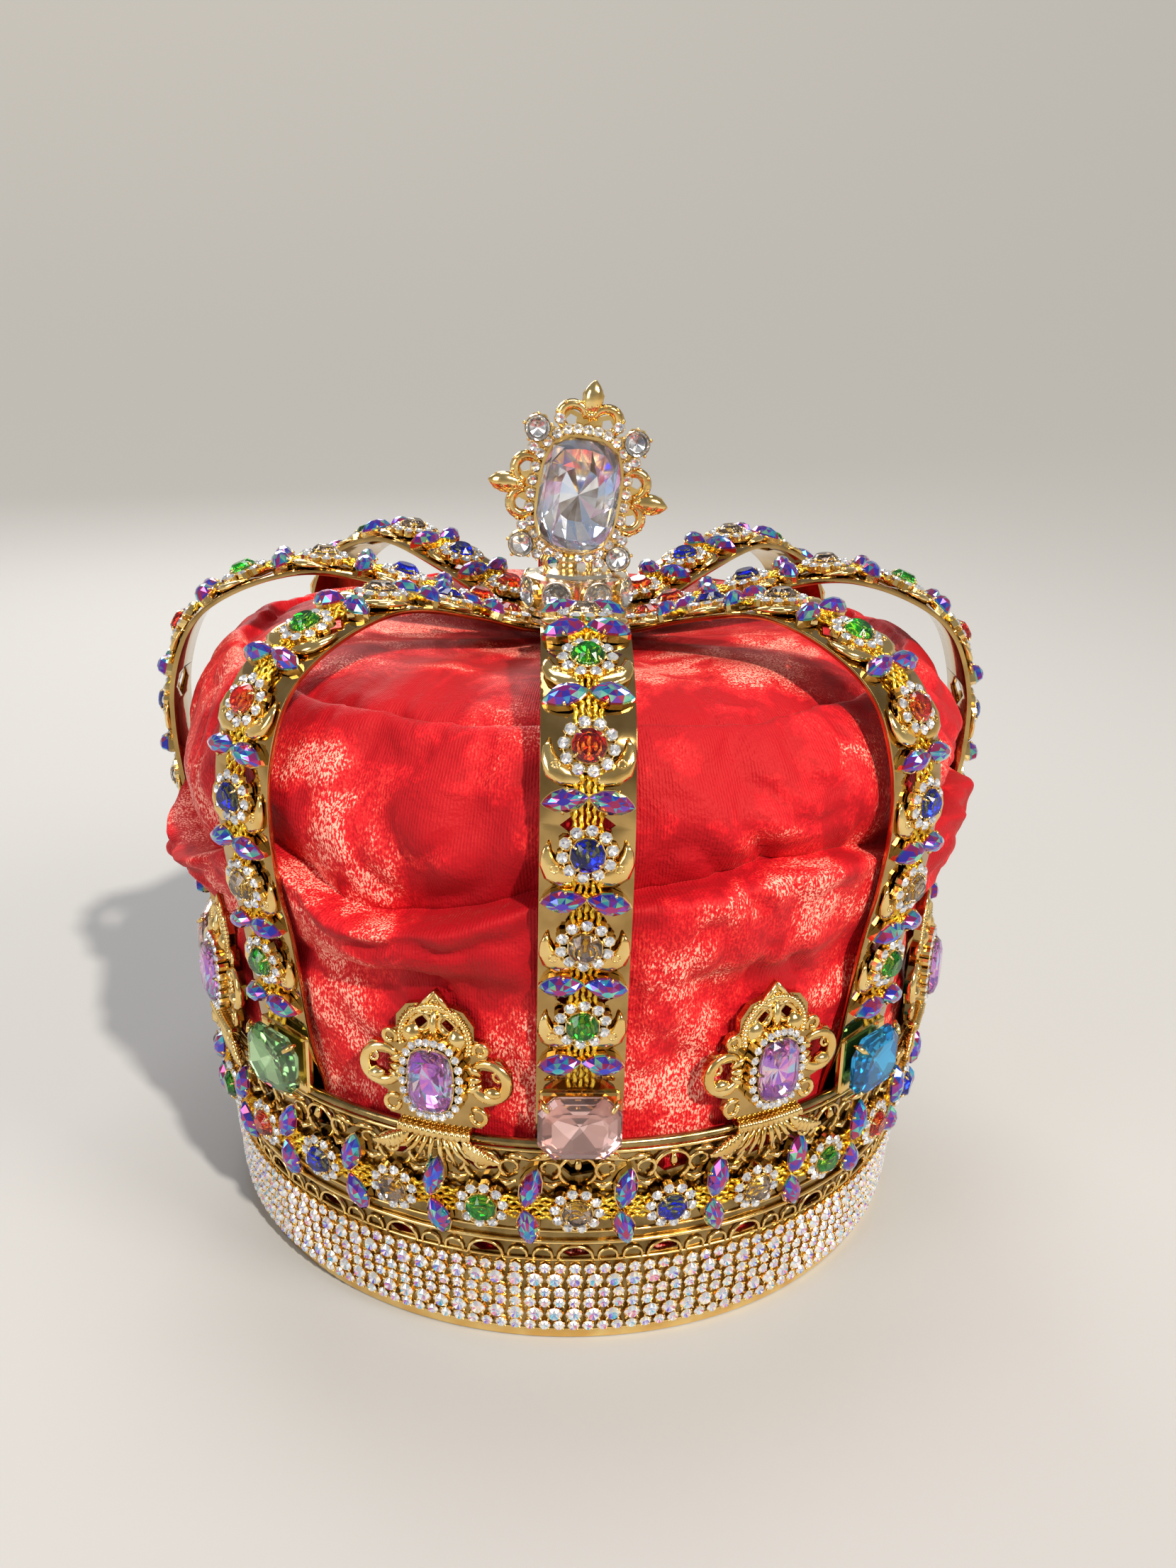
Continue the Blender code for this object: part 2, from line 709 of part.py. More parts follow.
def make_cross():
    frame = Matrix.Translation((0.0, 0.0, CROSS_CENTRE)) @ Matrix.Rotation(CROSS_ROLL, 4, "Y")
    plate = filigree_mesh("cross_frame", CROSS_OUTLINE, CROSS_HOLES, CROSS_THICKNESS)
    plate.transform(frame)
    place("cross_frame", plate, gold)
    front = Matrix.Translation((0.0, -CROSS_THICKNESS / 2 - GAP, 0.0))
    stone = cut_stone_mesh("cross_stone", CROSS_STONE, CROSS_STONE_DEPTH, 0.66)
    stone.transform(frame @ front)
    place("cross_stone", stone, rhinestone)
    corners = [(side, rise) for rise in (1, -1) for side in (1, -1)]
    for index, (side, rise) in enumerate(corners):
        bm = bmesh.new()
        out = Matrix.Translation((side * CORNER_STONE[0], 0.0, rise * CORNER_STONE[1]))
        round_stone(bm, frame @ front @ out, CORNER_STONE_RADIUS, CORNER_STONE_TABLE, CORNER_STONE_DEPTH)
        name = f"cross_corner_stone_{index + 1}"
        place(name, mesh_of(bm, name), rhinestone)


clear_scene()
parts = collection("imperial_crown")
cutters = collection("cutters")
crown = bpy.data.objects.new("crown_centre", None)
parts.objects.link(crown)

gold = material("polished_gold_plate", GOLD, 0.18, 1.0)
dark_gold = material("antique_gold_wire", DARK_GOLD, 0.30, 1.0)
velvet = material("red_panne_velvet", RED_VELVET, 0.75, 0.0)
rhinestone = material("clear_rhinestone", CLEAR, 0.05, 0.0)
stones = material("aurora_stones_on_gold_braid", VOLCANO, 0.12, 0.5)
aurora = material("aurora_crystal", VOLCANO, 0.05, 0.0)

arch_curve = smooth_profile(ARCH_PROFILE, 12)

make_base_rim()
make_rhinestone_band()
make_circlet()
make_circlet_chain()
make_top_rail()
make_arches()
make_foot_stones()
make_badges()
make_velvet_cap()
make_hub()
make_monde_drum()
make_cross()
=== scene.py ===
"""Looks of the imperial crown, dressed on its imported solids.

Metres, +Z up, the front arch towards -Y. A place on the crown is an azimuth, which is 0 at the
front and grows towards +X, and a height. Small pieces are modelled flat on the XY plane with
+Z outwards and +Y up or along their chain, and then copied to their places.
"""
import bisect
import random
from math import atan, cos, floor, hypot, pi, radians, sin, tau

import bpy
from mathutils import Matrix, Vector, noise


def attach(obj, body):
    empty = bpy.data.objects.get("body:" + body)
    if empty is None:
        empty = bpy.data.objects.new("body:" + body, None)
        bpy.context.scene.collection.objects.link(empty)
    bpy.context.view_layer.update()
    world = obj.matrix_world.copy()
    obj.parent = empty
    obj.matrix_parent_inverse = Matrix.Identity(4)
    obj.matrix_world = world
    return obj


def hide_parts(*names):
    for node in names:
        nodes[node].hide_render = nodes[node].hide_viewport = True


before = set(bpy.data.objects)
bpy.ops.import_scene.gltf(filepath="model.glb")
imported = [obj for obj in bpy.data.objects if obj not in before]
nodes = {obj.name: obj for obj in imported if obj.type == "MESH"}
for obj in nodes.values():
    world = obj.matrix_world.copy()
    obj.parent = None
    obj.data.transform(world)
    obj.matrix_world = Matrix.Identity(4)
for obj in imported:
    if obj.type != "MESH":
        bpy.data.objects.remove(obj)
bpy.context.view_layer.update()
draw = random.Random(7)

# Sizes shared with the solids
BAND_RADIUS = 0.0900
BAND_FLARE = 0.0924
LEAN = atan(BAND_FLARE)
RIM_HEIGHT = 0.0028
MESH_TOP = 0.0236
RAIL_RADIUS = 0.0950
RAIL_HEIGHT = 0.0564
CLUSTER_COUNT = 28
RING_CHAIN_HEIGHT = 0.0397
CHAIN_SEAT = 0.00045
RAIL_WIRE = 0.0011
RIM_WIDTH = 0.0014
ARCH_COUNT = 8
ARCH_NAMES = tuple(f"arch_{index + 1}" for index in range(ARCH_COUNT))
ARCH_WIDTH = 0.0190
ARCH_TOP_WIDTH = 0.0140
ARCH_THICKNESS = 0.0012
ARCH_TAPER_RADIUS = 0.0600
WINDOW = (0.0110, 0.0084)
ARCH_FOOT_LENGTH = 0.0120
ARCH_CHAIN_START = 0.0172
ARCH_CHAIN_PITCH = 0.0203
ARCH_CHAIN_PAIRS = 8
FIRST_PAIR = 0.0240
WINDOW_PLACES = (0.0390, 0.0800, 0.1200, 0.1600)
ARCH_PROFILE = (
    (0.0920, 0.0440),
    (0.0927, 0.0570),
    (0.0960, 0.0705),
    (0.0995, 0.0950),
    (0.1025, 0.1100),
    (0.1040, 0.1250),
    (0.1032, 0.1380),
    (0.0985, 0.1510),
    (0.0900, 0.1590),
    (0.0760, 0.1648),
    (0.0620, 0.1660),
    (0.0420, 0.1612),
    (0.0280, 0.1566),
    (0.0186, 0.1545),
)
FOOT_STONE = (0.0183, 0.0150, 0.0036)
FOOT_STONE_BACK = 0.0965
FOOT_STONE_HEIGHT = 0.0634
BADGE_BASE = (0.0958, 0.0577)
BADGE_AZIMUTHS = tuple(radians(turn) for turn in (26.4, 68, 112.5, 157.5, 202.5, 247.5, 295, 341))
BADGE_THICKNESS = 0.0016
BADGE_STONE = (0.0104, 0.0152)
BADGE_STONE_RISE = 0.0140
HUB_TOP = 0.1548
DRUM_RADIUS = 0.0132
DRUM_TOP = 0.1635
DRUM_STONE_RADIUS = 0.0041
CROSS_CENTRE = 0.1852
CROSS_ROLL = radians(8)
CROSS_THICKNESS = 0.0024
CROSS_STONE = (0.0200, 0.0280)
CORNER_STONE = (0.0125, 0.0145)
CORNER_STONE_RADIUS = 0.00325

# Velvet cap: height, radius between two arches, radius under an arch
CAP_ROWS = (
    (0.0006, 0.0880, 0.0880),
    (0.0300, 0.0903, 0.0896),
    (0.0570, 0.0926, 0.0910),
    (0.0760, 0.0938, 0.0945),
    (0.0930, 0.0950, 0.0970),
    (0.1000, 0.1004, 0.0980),
    (0.1110, 0.1038, 0.1003),
    (0.1160, 0.1036, 0.1008),
    (0.1170, 0.0952, 0.0955),
    (0.1188, 0.0958, 0.0955),
    (0.1290, 0.1006, 0.0992),
    (0.1380, 0.0972, 0.0972),
    (0.1460, 0.0915, 0.0920),
    (0.1494, 0.0864, 0.0870),
    (0.1464, 0.0836, 0.0838),
    (0.1502, 0.0772, 0.0775),
    (0.1532, 0.0620, 0.0620),
    (0.1500, 0.0230, 0.0230),
    (0.1486, 0.0000, 0.0000),
)
CAP_WALL = 0.0014
CAP_AROUND = 300
CAP_UP = 150
# Places where the cap's lower fold hangs or rises: azimuth, half width, shift of the fold, swell
CAP_SAGS = (
    (radians(-78), radians(60), -0.0140, 0.0026),
    (radians(-28), radians(36), -0.0095, 0.0),
    (radians(42), radians(50), 0.0050, 0.0006),
    (radians(165), radians(70), -0.0080, 0.0010),
)
FOLD_LOW = 0.0930
FOLD_HEIGHT = 0.1160
FOLD_HIGH = 0.1480
# Loose puffs of velvet: azimuth, half width, height, half height, rise
CAP_PUFFS = (
    (radians(-77), radians(12), 0.0960, 0.0200, 0.0075),
    (radians(78), radians(11), 0.0950, 0.0180, 0.0040),
    (radians(-36), radians(8), 0.0800, 0.0200, 0.0022),
    (radians(12), radians(9), 0.0880, 0.0220, 0.0024),
    (radians(-8), radians(7), 0.0900, 0.0240, 0.0018),
    (radians(128), radians(10), 0.0900, 0.0200, 0.0040),
    (radians(-128), radians(10), 0.0880, 0.0200, 0.0045),
    (radians(172), radians(8), 0.0900, 0.0200, 0.0030),
)
# The velvet stays behind the arches' strips: half a strip's angle, and what the velvet may rise there
ARCH_HALF_ANGLE = 0.098
UNDER_ARCH_ROOM = 0.0003
# The circlet holds the velvet tight up to the first height, and it lies loose from the second one on
CAP_TIGHT_HEIGHT = 0.058
CAP_LOOSE_HEIGHT = 0.078

# Fine crush of the velvet: how deep its folds, slanting folds and creases are, and how far it waves up
FOLD_DEPTH = 0.0017
SLANT_DEPTH = 0.0012
CREASE_DEPTH = 0.0022
WAVE_RISE = 0.0022
BULGE_AT_RIM = 0.0012

# Rhinestone band: rows of height, count and stone radius
SMALL_RHINESTONE = 0.00138
LARGE_RHINESTONE = 0.00188
RHINESTONE_ROWS = (
    (0.0046, 168, SMALL_RHINESTONE),
    (0.0080, 126, LARGE_RHINESTONE),
    (0.0115, 168, SMALL_RHINESTONE),
    (0.0147, 168, SMALL_RHINESTONE),
    (0.0183, 126, LARGE_RHINESTONE),
    (0.0218, 168, SMALL_RHINESTONE),
)

# Colours of the stones: glass, foil in its bright and in its dark patches of painted reflection, patches of
# foil per metre
STONE_TINTS = {
    "smoky": ("#E4D9CF", "#D8CABC", "#5C4E44", 420.0),
    "green": ("#7BE27C", "#4FE05A", "#06501A", 420.0),
    "blue": ("#6C86FF", "#2F55FF", "#050B6A", 420.0),
    "red": ("#FF8A6A", "#FF4A2A", "#7A0C06", 420.0),
    "clear": ("#FFFFFF", "#FFFFFF", "#B4B8C0", 420.0),
    "rose": ("#FFEDEE", "#FFE6E0", "#CCAAA0", 150.0),
    "aqua": ("#7ED8F8", "#6CDCFF", "#1894C8", 150.0),
    "pale_green": ("#DDF2D2", "#E2F6D6", "#A8C8A0", 150.0),
}
# How much each part of a facet's direction shifts its colour
FACET_MIX = (3.1, 5.3, 4.7)
# Ribs of the velvet's knit round the cap
VELVET_RIBS = 900

# Pierced pattern of the circlet: heights of its scrolls, of its loops and of the small loops between
SCROLL_HEIGHT = 0.0496
LOOP_HEIGHT = 0.0247
SMALL_LOOP_HEIGHT = 0.0250
TRIM_PROUD = 0.0004
# Edge wires round the circlet: height, how proud of the wall, thickness
EDGE_WIRES = (
    (0.0546, 0.0003, 0.0010),
    (0.0292, 0.0004, 0.0011),
    (0.0322, 0.0002, 0.0006),
    (0.0240, 0.0003, 0.0007),
)

# Chains: colours in the order along them, the braid behind the stones and the clusters' sizes
RING_COLOURS = (
    "smoky blue smoky green red blue smoky green red blue green smoky red blue smoky green red blue "
    "smoky green red blue smoky green red blue smoky green").split()
ARCH_COLOURS = "green smoky blue red green smoky blue red".split()
FOOT_COLOURS = "rose aqua pale_green rose aqua pale_green rose pale_green".split()
BRAID_WIRES = 5
BRAID_WIRE = 0.0011
BRAID_SPACING = 0.00128
BRAID_STEP = 0.0007
WEAVE_RISE, WEAVE_LENGTH = 0.00042, 0.0028
SWAY_WIDTH, SWAY_LENGTH = 0.00018, 0.0021
HALO_STONES = 10
HALO_RADIUS = 0.0049
CLUSTER_STONE = 0.0035

# Pairs of pointed stones: length and width of a stone, half the gap between their middles, turn
ARCH_PAIR = (0.0092, 0.0048, 0.0044, radians(11))
RING_PAIR = (0.0102, 0.0050, 0.0052, radians(14))

# Cross: small stones on its right half, and its leaves with place, turn and length
CROSS_CHIPS = ((0.0074, 0.0176), (0.0128, 0.0098), (0.0080, -0.0164), (0.0128, -0.0098))
CROSS_LEAVES = (
    (0.0, 0.0176, 0.0, 0.0104),
    (0.0128, 0.0, -pi / 2, 0.0102),
    (-0.0128, 0.0, pi / 2, 0.0102),
)

# How square the cushion-shaped outlines are; 2 would be an ellipse
STONE_SQUARENESS = 3.4
SETTING_SQUARENESS = 3.0
RING_SQUARENESS = 2.6
CORNERS = ((1, 1), (1, -1), (-1, 1), (-1, -1))


def select_only(*pieces):
    bpy.ops.object.select_all(action="DESELECT")
    for piece in pieces:
        piece.select_set(True)
    bpy.context.view_layer.objects.active = pieces[0]


def open_faces(piece, test):
    """Enter edit mode with only the faces selected that pass the test."""
    select_only(piece)
    bpy.ops.object.mode_set(mode="EDIT")
    bpy.ops.mesh.select_mode(type="FACE")
    bpy.ops.mesh.select_all(action="DESELECT")
    bpy.ops.object.mode_set(mode="OBJECT")
    for face in piece.data.polygons:
        face.select = test(face)
    bpy.ops.object.mode_set(mode="EDIT")


def close_edit():
    bpy.ops.object.mode_set(mode="OBJECT")


def new_mesh(add_shape, **settings):
    """The object that one of Blender's operators for adding a shape makes."""
    bpy.ops.object.select_all(action="DESELECT")
    add_shape(**settings)
    return bpy.context.object


def facing_up(face):
    return face.normal.z > 0.9


def facing_down(face):
    return face.normal.z < -0.9


def facet_row(rise, across, turn=0.0):
    """Grow the selected face into the next row of facets."""
    centre = (0.0, 0.0, 0.0)
    bpy.ops.mesh.extrude_region_move(TRANSFORM_OT_translate={"value": (0.0, 0.0, rise)})
    bpy.ops.transform.resize(value=(across, across, 1.0), center_override=centre)
    if turn:
        bpy.ops.transform.rotate(value=turn, orient_axis="Z", center_override=centre)


def facet_point(drop):
    """Grow the selected face into facets that meet in a point."""
    facet_row(-drop, 0.02)
    bpy.ops.mesh.merge(type="COLLAPSE")


def split_facets():
    """Split the facets of the mesh that is open into triangles, and close it."""
    bpy.ops.mesh.select_all(action="SELECT")
    bpy.ops.mesh.quads_convert_to_tris(quad_method="FIXED")
    close_edit()


def copy_to(piece, matrix, tone=None):
    """A copy with its own mesh, moved by a matrix; tone is its shade, kept on its faces."""
    made = piece.copy()
    made.data = piece.data.copy()
    made.data.transform(matrix)
    if matrix.determinant() < 0.0:
        made.data.flip_normals()
    if tone is not None:
        set_tone(made, tone)
    bpy.context.collection.objects.link(made)
    return made


def set_tone(piece, tone):
    mesh = piece.data
    layer = mesh.attributes.get("tone") or mesh.attributes.new("tone", "FLOAT", "FACE")
    layer.data.foreach_set("value", [tone] * len(mesh.polygons))


def apply_modifier(piece, kind, **settings):
    made = piece.modifiers.new(kind.lower(), kind)
    for name, value in settings.items():
        setattr(made, name, value)
    select_only(piece)
    bpy.ops.object.modifier_apply(modifier=made.name)


def joined(pieces, name="piece"):
    """Join objects into one with its place in its mesh."""
    select_only(*pieces)
    bpy.ops.object.transform_apply(location=True, rotation=True, scale=True)
    if len(pieces) > 1:
        bpy.ops.object.join()
    made = bpy.context.view_layer.objects.active
    made.name = name
    made.data.name = name
    return made


def discard(*pieces):
    for piece in pieces:
        bpy.data.objects.remove(piece)


def finish_with(piece, *materials):
    piece.data.materials.clear()
    for finish in materials:
        piece.data.materials.append(finish)
    return piece


def settle(piece, slot, *replaced):
    """Attach a finished piece to the root body and hide the solids that it replaces."""
    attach(piece, "root")
    if replaced:
        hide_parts(*replaced)
    return piece


def smooth_rows(points, parts_between):
    """Points of a Catmull-Rom curve through rows of numbers."""
    ends = [points[0], *points, points[-1]]
    rows = []
    for index in range(1, len(ends) - 2):
        before, start, stop, after = ends[index - 1:index + 3]
        for part in range(parts_between):
            t = part / parts_between
            rows.append([
                0.5 * (2 * b + (c - a) * t + (2 * a - 5 * b + 4 * c - d) * t ** 2
                       + (3 * b - a - 3 * c + d) * t ** 3)
                for a, b, c, d in zip(before, start, stop, after)])
    rows.append(list(points[-1]))
    return rows


def with_lengths(rows):
    """Put the length along the curve before each (radius, height) row."""
    length = 0.0
    measured = []
    for index, row in enumerate(rows):
        if index:
            length += hypot(row[0] - rows[index - 1][0], row[1] - rows[index - 1][1])
        measured.append((length, *row))
    return measured


arch_curve = with_lengths(smooth_rows(ARCH_PROFILE, 12))
arch_length = arch_curve[-1][0]


def arch_frame(along):
    """Radius, height and the slope of the tangent at a length from an arch's foot."""
    lengths = [row[0] for row in arch_curve]
    index = min(max(bisect.bisect(lengths, along), 1), len(arch_curve) - 1)
    low, high = arch_curve[index - 1], arch_curve[index]
    share = (along - low[0]) / (high[0] - low[0])
    start = arch_curve[max(index - 3, 0)]
    stop = arch_curve[min(index + 3, len(arch_curve) - 1)]
    reach = hypot(stop[1] - start[1], stop[2] - start[2])
    tangent = ((stop[1] - start[1]) / reach, (stop[2] - start[2]) / reach)
    radius = low[1] + share * (high[1] - low[1])
    height = low[2] + share * (high[2] - low[2])
    return radius, height, tangent


def arch_half_width(radius):
    share = min(radius / ARCH_TAPER_RADIUS, 1.0)
    return (ARCH_TOP_WIDTH + (ARCH_WIDTH - ARCH_TOP_WIDTH) * share ** 0.5) / 2


def on_arch(azimuth, along, height=CHAIN_SEAT):
    """Where a piece sits on an arch: +Y runs towards the hub and +Z outwards."""
    radius, level, tangent = arch_frame(along)
    across = Vector((1.0, 0.0, 0.0))
    run = Vector((0.0, -tangent[0], tangent[1]))
    out = across.cross(run)
    axes = Matrix((across, run, out)).transposed().to_4x4()
    place = Matrix.Translation(Vector((0.0, -radius, level)) + out * height)
    return turned(azimuth) @ place @ axes


def on_side(azimuth, radius, height, lean=0.0):
    """Where a piece sits on the crown's side: +X runs round, +Y up and +Z outwards."""
    turn = turned(azimuth)
    return turn @ shifted(0.0, -radius, height) @ turned(pi / 2 + lean, "X")


def band_radius(height):
    return BAND_RADIUS + BAND_FLARE * height


def on_band(azimuth, height, proud=0.0):
    return on_side(azimuth, band_radius(height) + proud, height, LEAN)


def turned(angle, axis="Z"):
    return Matrix.Rotation(angle, 4, axis)


def shifted(x, y, z=0.0, turn=0.0):
    return Matrix.Translation((x, y, z)) @ turned(turn)


def wire(points, thickness, sides=1, closed=False, swell=None):
    """A round wire through points; swell gives its thickness at a share of its length."""
    curve = bpy.data.curves.new("wire", "CURVE")
    curve.dimensions = "3D"
    curve.bevel_depth = thickness / 2
    curve.bevel_resolution = sides
    curve.use_fill_caps = not closed
    spline = curve.splines.new("POLY")
    spline.points.add(len(points) - 1)
    for index, (point, place) in enumerate(zip(spline.points, points)):
        point.co = (*place, 1.0)
        if swell:
            point.radius = swell(index / (len(points) - 1))
    spline.use_cyclic_u = closed
    made = bpy.data.objects.new("wire", curve)
    bpy.context.collection.objects.link(made)
    select_only(made)
    bpy.ops.object.convert(target="MESH")
    made = bpy.context.object
    bpy.ops.object.mode_set(mode="EDIT")
    bpy.ops.mesh.select_all(action="SELECT")
    bpy.ops.mesh.remove_doubles(threshold=0.000005)
    close_edit()
    bpy.ops.object.shade_smooth()
    return made


def arc_points(centre, radii, start, stop, count, rise=0.0):
    """Points of an arc on the XY plane, from one angle in degrees to another; radii may be one number
    or the ones at its two ends."""
    first, last = radii if isinstance(radii, tuple) else (radii, radii)
    points = []
    for index in range(count):
        share = index / (count - 1)
        turn = radians(start + (stop - start) * share)
        reach = first + (last - first) * share
        height = rise * sin(pi * share)
        points.append((centre[0] + reach * cos(turn), centre[1] + reach * sin(turn), height))
    return points


def bulge(ends, extra):
    """A wire's swell that is thickest in the middle."""
    return lambda share: ends + extra * sin(pi * share)


def thinner(start, loss):
    """A wire's swell that shrinks evenly towards its end."""
    return lambda share: start - loss * share


def mirrored(pieces):
    flip = Matrix.Scale(-1.0, 4, (1.0, 0.0, 0.0))
    return [copy_to(piece, flip) for piece in pieces]


# Materials: each starts from the real finish, with its colours as sRGB hex
def linear(code):
    channels = [int(code[start:start + 2], 16) / 255 for start in (1, 3, 5)]
    return (*[c / 12.92 if c <= 0.04045 else ((c + 0.055) / 1.055) ** 2.4 for c in channels], 1.0)


def add(tree, kind, values=None, links=None, **settings):
    """Add a node with its settings, socket values and links."""
    made = tree.nodes.new(kind)
    for name, value in settings.items():
        setattr(made, name, value)
    for socket, value in (values or {}).items():
        made.inputs[socket].default_value = value
    for socket, source in (links or {}).items():
        tree.links.new(source, made.inputs[socket])
    return made


def computed(tree, operation, *terms):
    """The result of a math node; a term is a number or another node's output."""
    numbers = {place: term for place, term in enumerate(terms) if isinstance(term, float)}
    sources = {place: term for place, term in enumerate(terms) if not isinstance(term, float)}
    return add(tree, "ShaderNodeMath", numbers, sources, operation=operation).outputs[0]


def noise_at(tree, where, scale, detail, **values):
    """Noise at a place; its scale is in spots per metre."""
    values = {"Scale": scale, "Detail": detail, **values}
    return add(tree, "ShaderNodeTexNoise", values, {"Vector": where}).outputs["Fac"]


def ranged(tree, value, source, target=(0.0, 1.0)):
    """Carry a value over from one range of numbers to another."""
    ends = dict(zip(("From Min", "From Max", "To Min", "To Max"), (*source, *target)))
    return add(tree, "ShaderNodeMapRange", ends, {"Value": value}).outputs["Result"]


def bumped(tree, height, strength, distance, finer=None):
    """The normal of a bump, which may lie over a finer one."""
    links = {"Height": height, "Normal": finer} if finer else {"Height": height}
    return add(tree, "ShaderNodeBump", {"Strength": strength, "Distance": distance}, links).outputs["Normal"]


def ramp(tree, source, stops):
    """Colours along a value; stops are (place, hex code) pairs."""
    made = add(tree, "ShaderNodeValToRGB", links={"Fac": source})
    band = made.color_ramp.elements
    while len(band) < len(stops):
        band.new(0.5)
    for element, (place, code) in zip(band, stops):
        element.position = place
        element.color = linear(code)
    return made.outputs["Color"]


def new_material(name, values):
    made = bpy.data.materials.new(name)
    made.use_nodes = True
    shader = made.node_tree.nodes["Principled BSDF"]
    for socket, value in values.items():
        shader.inputs[socket].default_value = value
    return made, made.node_tree, shader


def feed(shader, sources):
    """Link other nodes' outputs to the shader."""
    for socket, source in sources.items():
        shader.id_data.links.new(source, shader.inputs[socket])


def plated_metal(name, bright, deep, roughness, grain):
    """Thin plate over a cast or pressed metal: bright, with faint dullness and casting waves."""
    made, tree, shader = new_material(name, {"Metallic": 1.0})
    where = add(tree, "ShaderNodeTexCoord").outputs["Object"]
    cloud = noise_at(tree, where, 140.0, 3.0)
    waves = noise_at(tree, where, 600.0, 2.0)
    feed(shader, {
        "Base Color": ramp(tree, cloud, ((0.35, deep), (0.65, bright))),
        "Roughness": ranged(tree, cloud, (0.0, 1.0), (roughness * 0.6, roughness * 1.6)),
        "Normal": bumped(tree, waves, grain, 0.0002)})
    return made


def polished_gold_plate():
    """Bright yellow mirror of gold plate, with small waves of the casting under it."""
    return plated_metal("polished_gold_plate", "#FBDD96", "#EBC070", 0.11, 0.22)


def brass_strip():
    """Flat strips of the arches, browner than the cast pieces; on the plates of the badges the browner colour
    is painted shade, so that their gold relief stands out.
    """
    return plated_metal("plated_brass_strip", "#C8A568", "#A88650", 0.05, 0.06)


def antique_gold_wire():
    """The rail, the circlet's wall and the net behind the rhinestones are darker and greener than the plate.
    """
    return plated_metal("antique_gold_wire", "#AE9360", "#756038", 0.16, 0.25)


def champagne_plate():
    """The drum under the cross has a paler, nearly silver plate."""
    return plated_metal("champagne_plate", "#FFF6E4", "#EADCC0", 0.14, 0.25)


def woven_gold_wire():
    """Gimp of fine gilt wire: more yellow and duller than the plate."""
    return plated_metal("woven_gold_wire", "#FFDC55", "#DCA628", 0.24, 0.6)


def tinted_by_facet(name, stops, roughness, spread=2.6, cloudy=1.2):
    """Foiled and coated glass: each facet takes its own colour from a row of tints."""
    made, tree, shader = new_material(
        name, {"Metallic": 0.8, "Roughness": roughness, "Coat Weight": 1.0, "Coat Roughness": 0.02})
    places = add(tree, "ShaderNodeTexCoord")
    tone = add(tree, "ShaderNodeAttribute", attribute_name="tone").outputs["Fac"]
    facing = add(tree, "ShaderNodeVectorMath", {1: FACET_MIX}, {0: places.outputs["Normal"]},
                 operation="DOT_PRODUCT").outputs["Value"]
    cloud = noise_at(tree, places.outputs["Object"], 260.0, 1.0)
    mixed = computed(tree, "MULTIPLY_ADD", tone, spread, facing)
    moved = computed(tree, "MULTIPLY_ADD", cloud, cloudy, mixed)
    feed(shader, {"Base Color": ramp(tree, computed(tree, "FRACT", moved), stops)})
    return made


def volcano_glass():
    """Aurora coat on the pointed stones: violet, blue, teal and magenta by facet."""
    stops = ((0.0, "#5A30B8"), (0.2, "#2C46D4"), (0.36, "#38B0C4"), (0.46, "#8CD8AC"),
             (0.56, "#6A3CC8"), (0.72, "#A82474"), (0.88, "#B83858"), (1.0, "#4C2CB0"))
    return tinted_by_facet("volcano_coated_glass", stops, 0.07, cloudy=0.45)


def clear_foil():
    """Clear foiled rhinestone: white facets, and grey ones that are painted dark reflections."""
    stops = ((0.0, "#FFFFFF"), (0.3, "#DADDE4"), (0.5, "#FFFFFF"), (0.7, "#A9ACB8"), (1.0, "#FFFFFF"))
    return tinted_by_facet("foiled_clear_glass", stops, 0.05)


def aurora_foil():
    """Aurora rhinestone: white facets that go pale blue, rose and yellow."""
    stops = ((0.0, "#FFFFFF"), (0.2, "#DDF0FF"), (0.4, "#FFFFFF"), (0.55, "#FFEAF2"),
             (0.7, "#F0F4FF"), (0.85, "#FFF8DC"), (1.0, "#FFFFFF"))
    return tinted_by_facet("aurora_foiled_glass", stops, 0.05)


def aurora_heart():
    """The bottom of an aurora rhinestone, which goes violet and blue."""
    stops = ((0.0, "#FFFFFF"), (0.16, "#6A4CE0"), (0.32, "#FFFFFF"), (0.46, "#40BCE0"),
             (0.6, "#FFFFFF"), (0.74, "#E060B4"), (0.88, "#FFF0C0"), (1.0, "#FFFFFF"))
    return tinted_by_facet("aurora_foil_heart", stops, 0.05)


def aurora_violet_foil():
    """Back of the badges' crystals: violet, rose and pale blue facets."""
    stops = ((0.0, "#F48CD0"), (0.2, "#9A60E4"), (0.4, "#FFB0D8"), (0.55, "#A4ECFF"),
             (0.7, "#FFE0D0"), (0.85, "#C470E0"), (1.0, "#F48CD0"))
    return tinted_by_facet("aurora_violet_foil", stops, 0.06, spread=1.6, cloudy=0.5)


def crystal_foil():
    """Silver foil of the cross's crystal: white facets, and painted reflections in the others: blue-white and
    brown ones, some violet and rose.
    """
    stops = ((0.0, "#FFFFFF"), (0.18, "#C4DCFF"), (0.32, "#FFFFFF"), (0.44, "#8A7668"), (0.54, "#D8DCE4"),
             (0.68, "#FFFFFF"), (0.8, "#F0C8EC"), (0.9, "#FFFFFF"), (1.0, "#CFE2FF"))
    return tinted_by_facet("silver_foiled_crystal", stops, 0.05, spread=1.0, cloudy=0.2)


def tinted_glass(name, tint):
    """Solid cut glass, clear or dyed through."""
    return new_material(name, {
        "Roughness": 0.01, "IOR": 1.56, "Transmission Weight": 1.0, "Base Color": linear(tint)})[0]


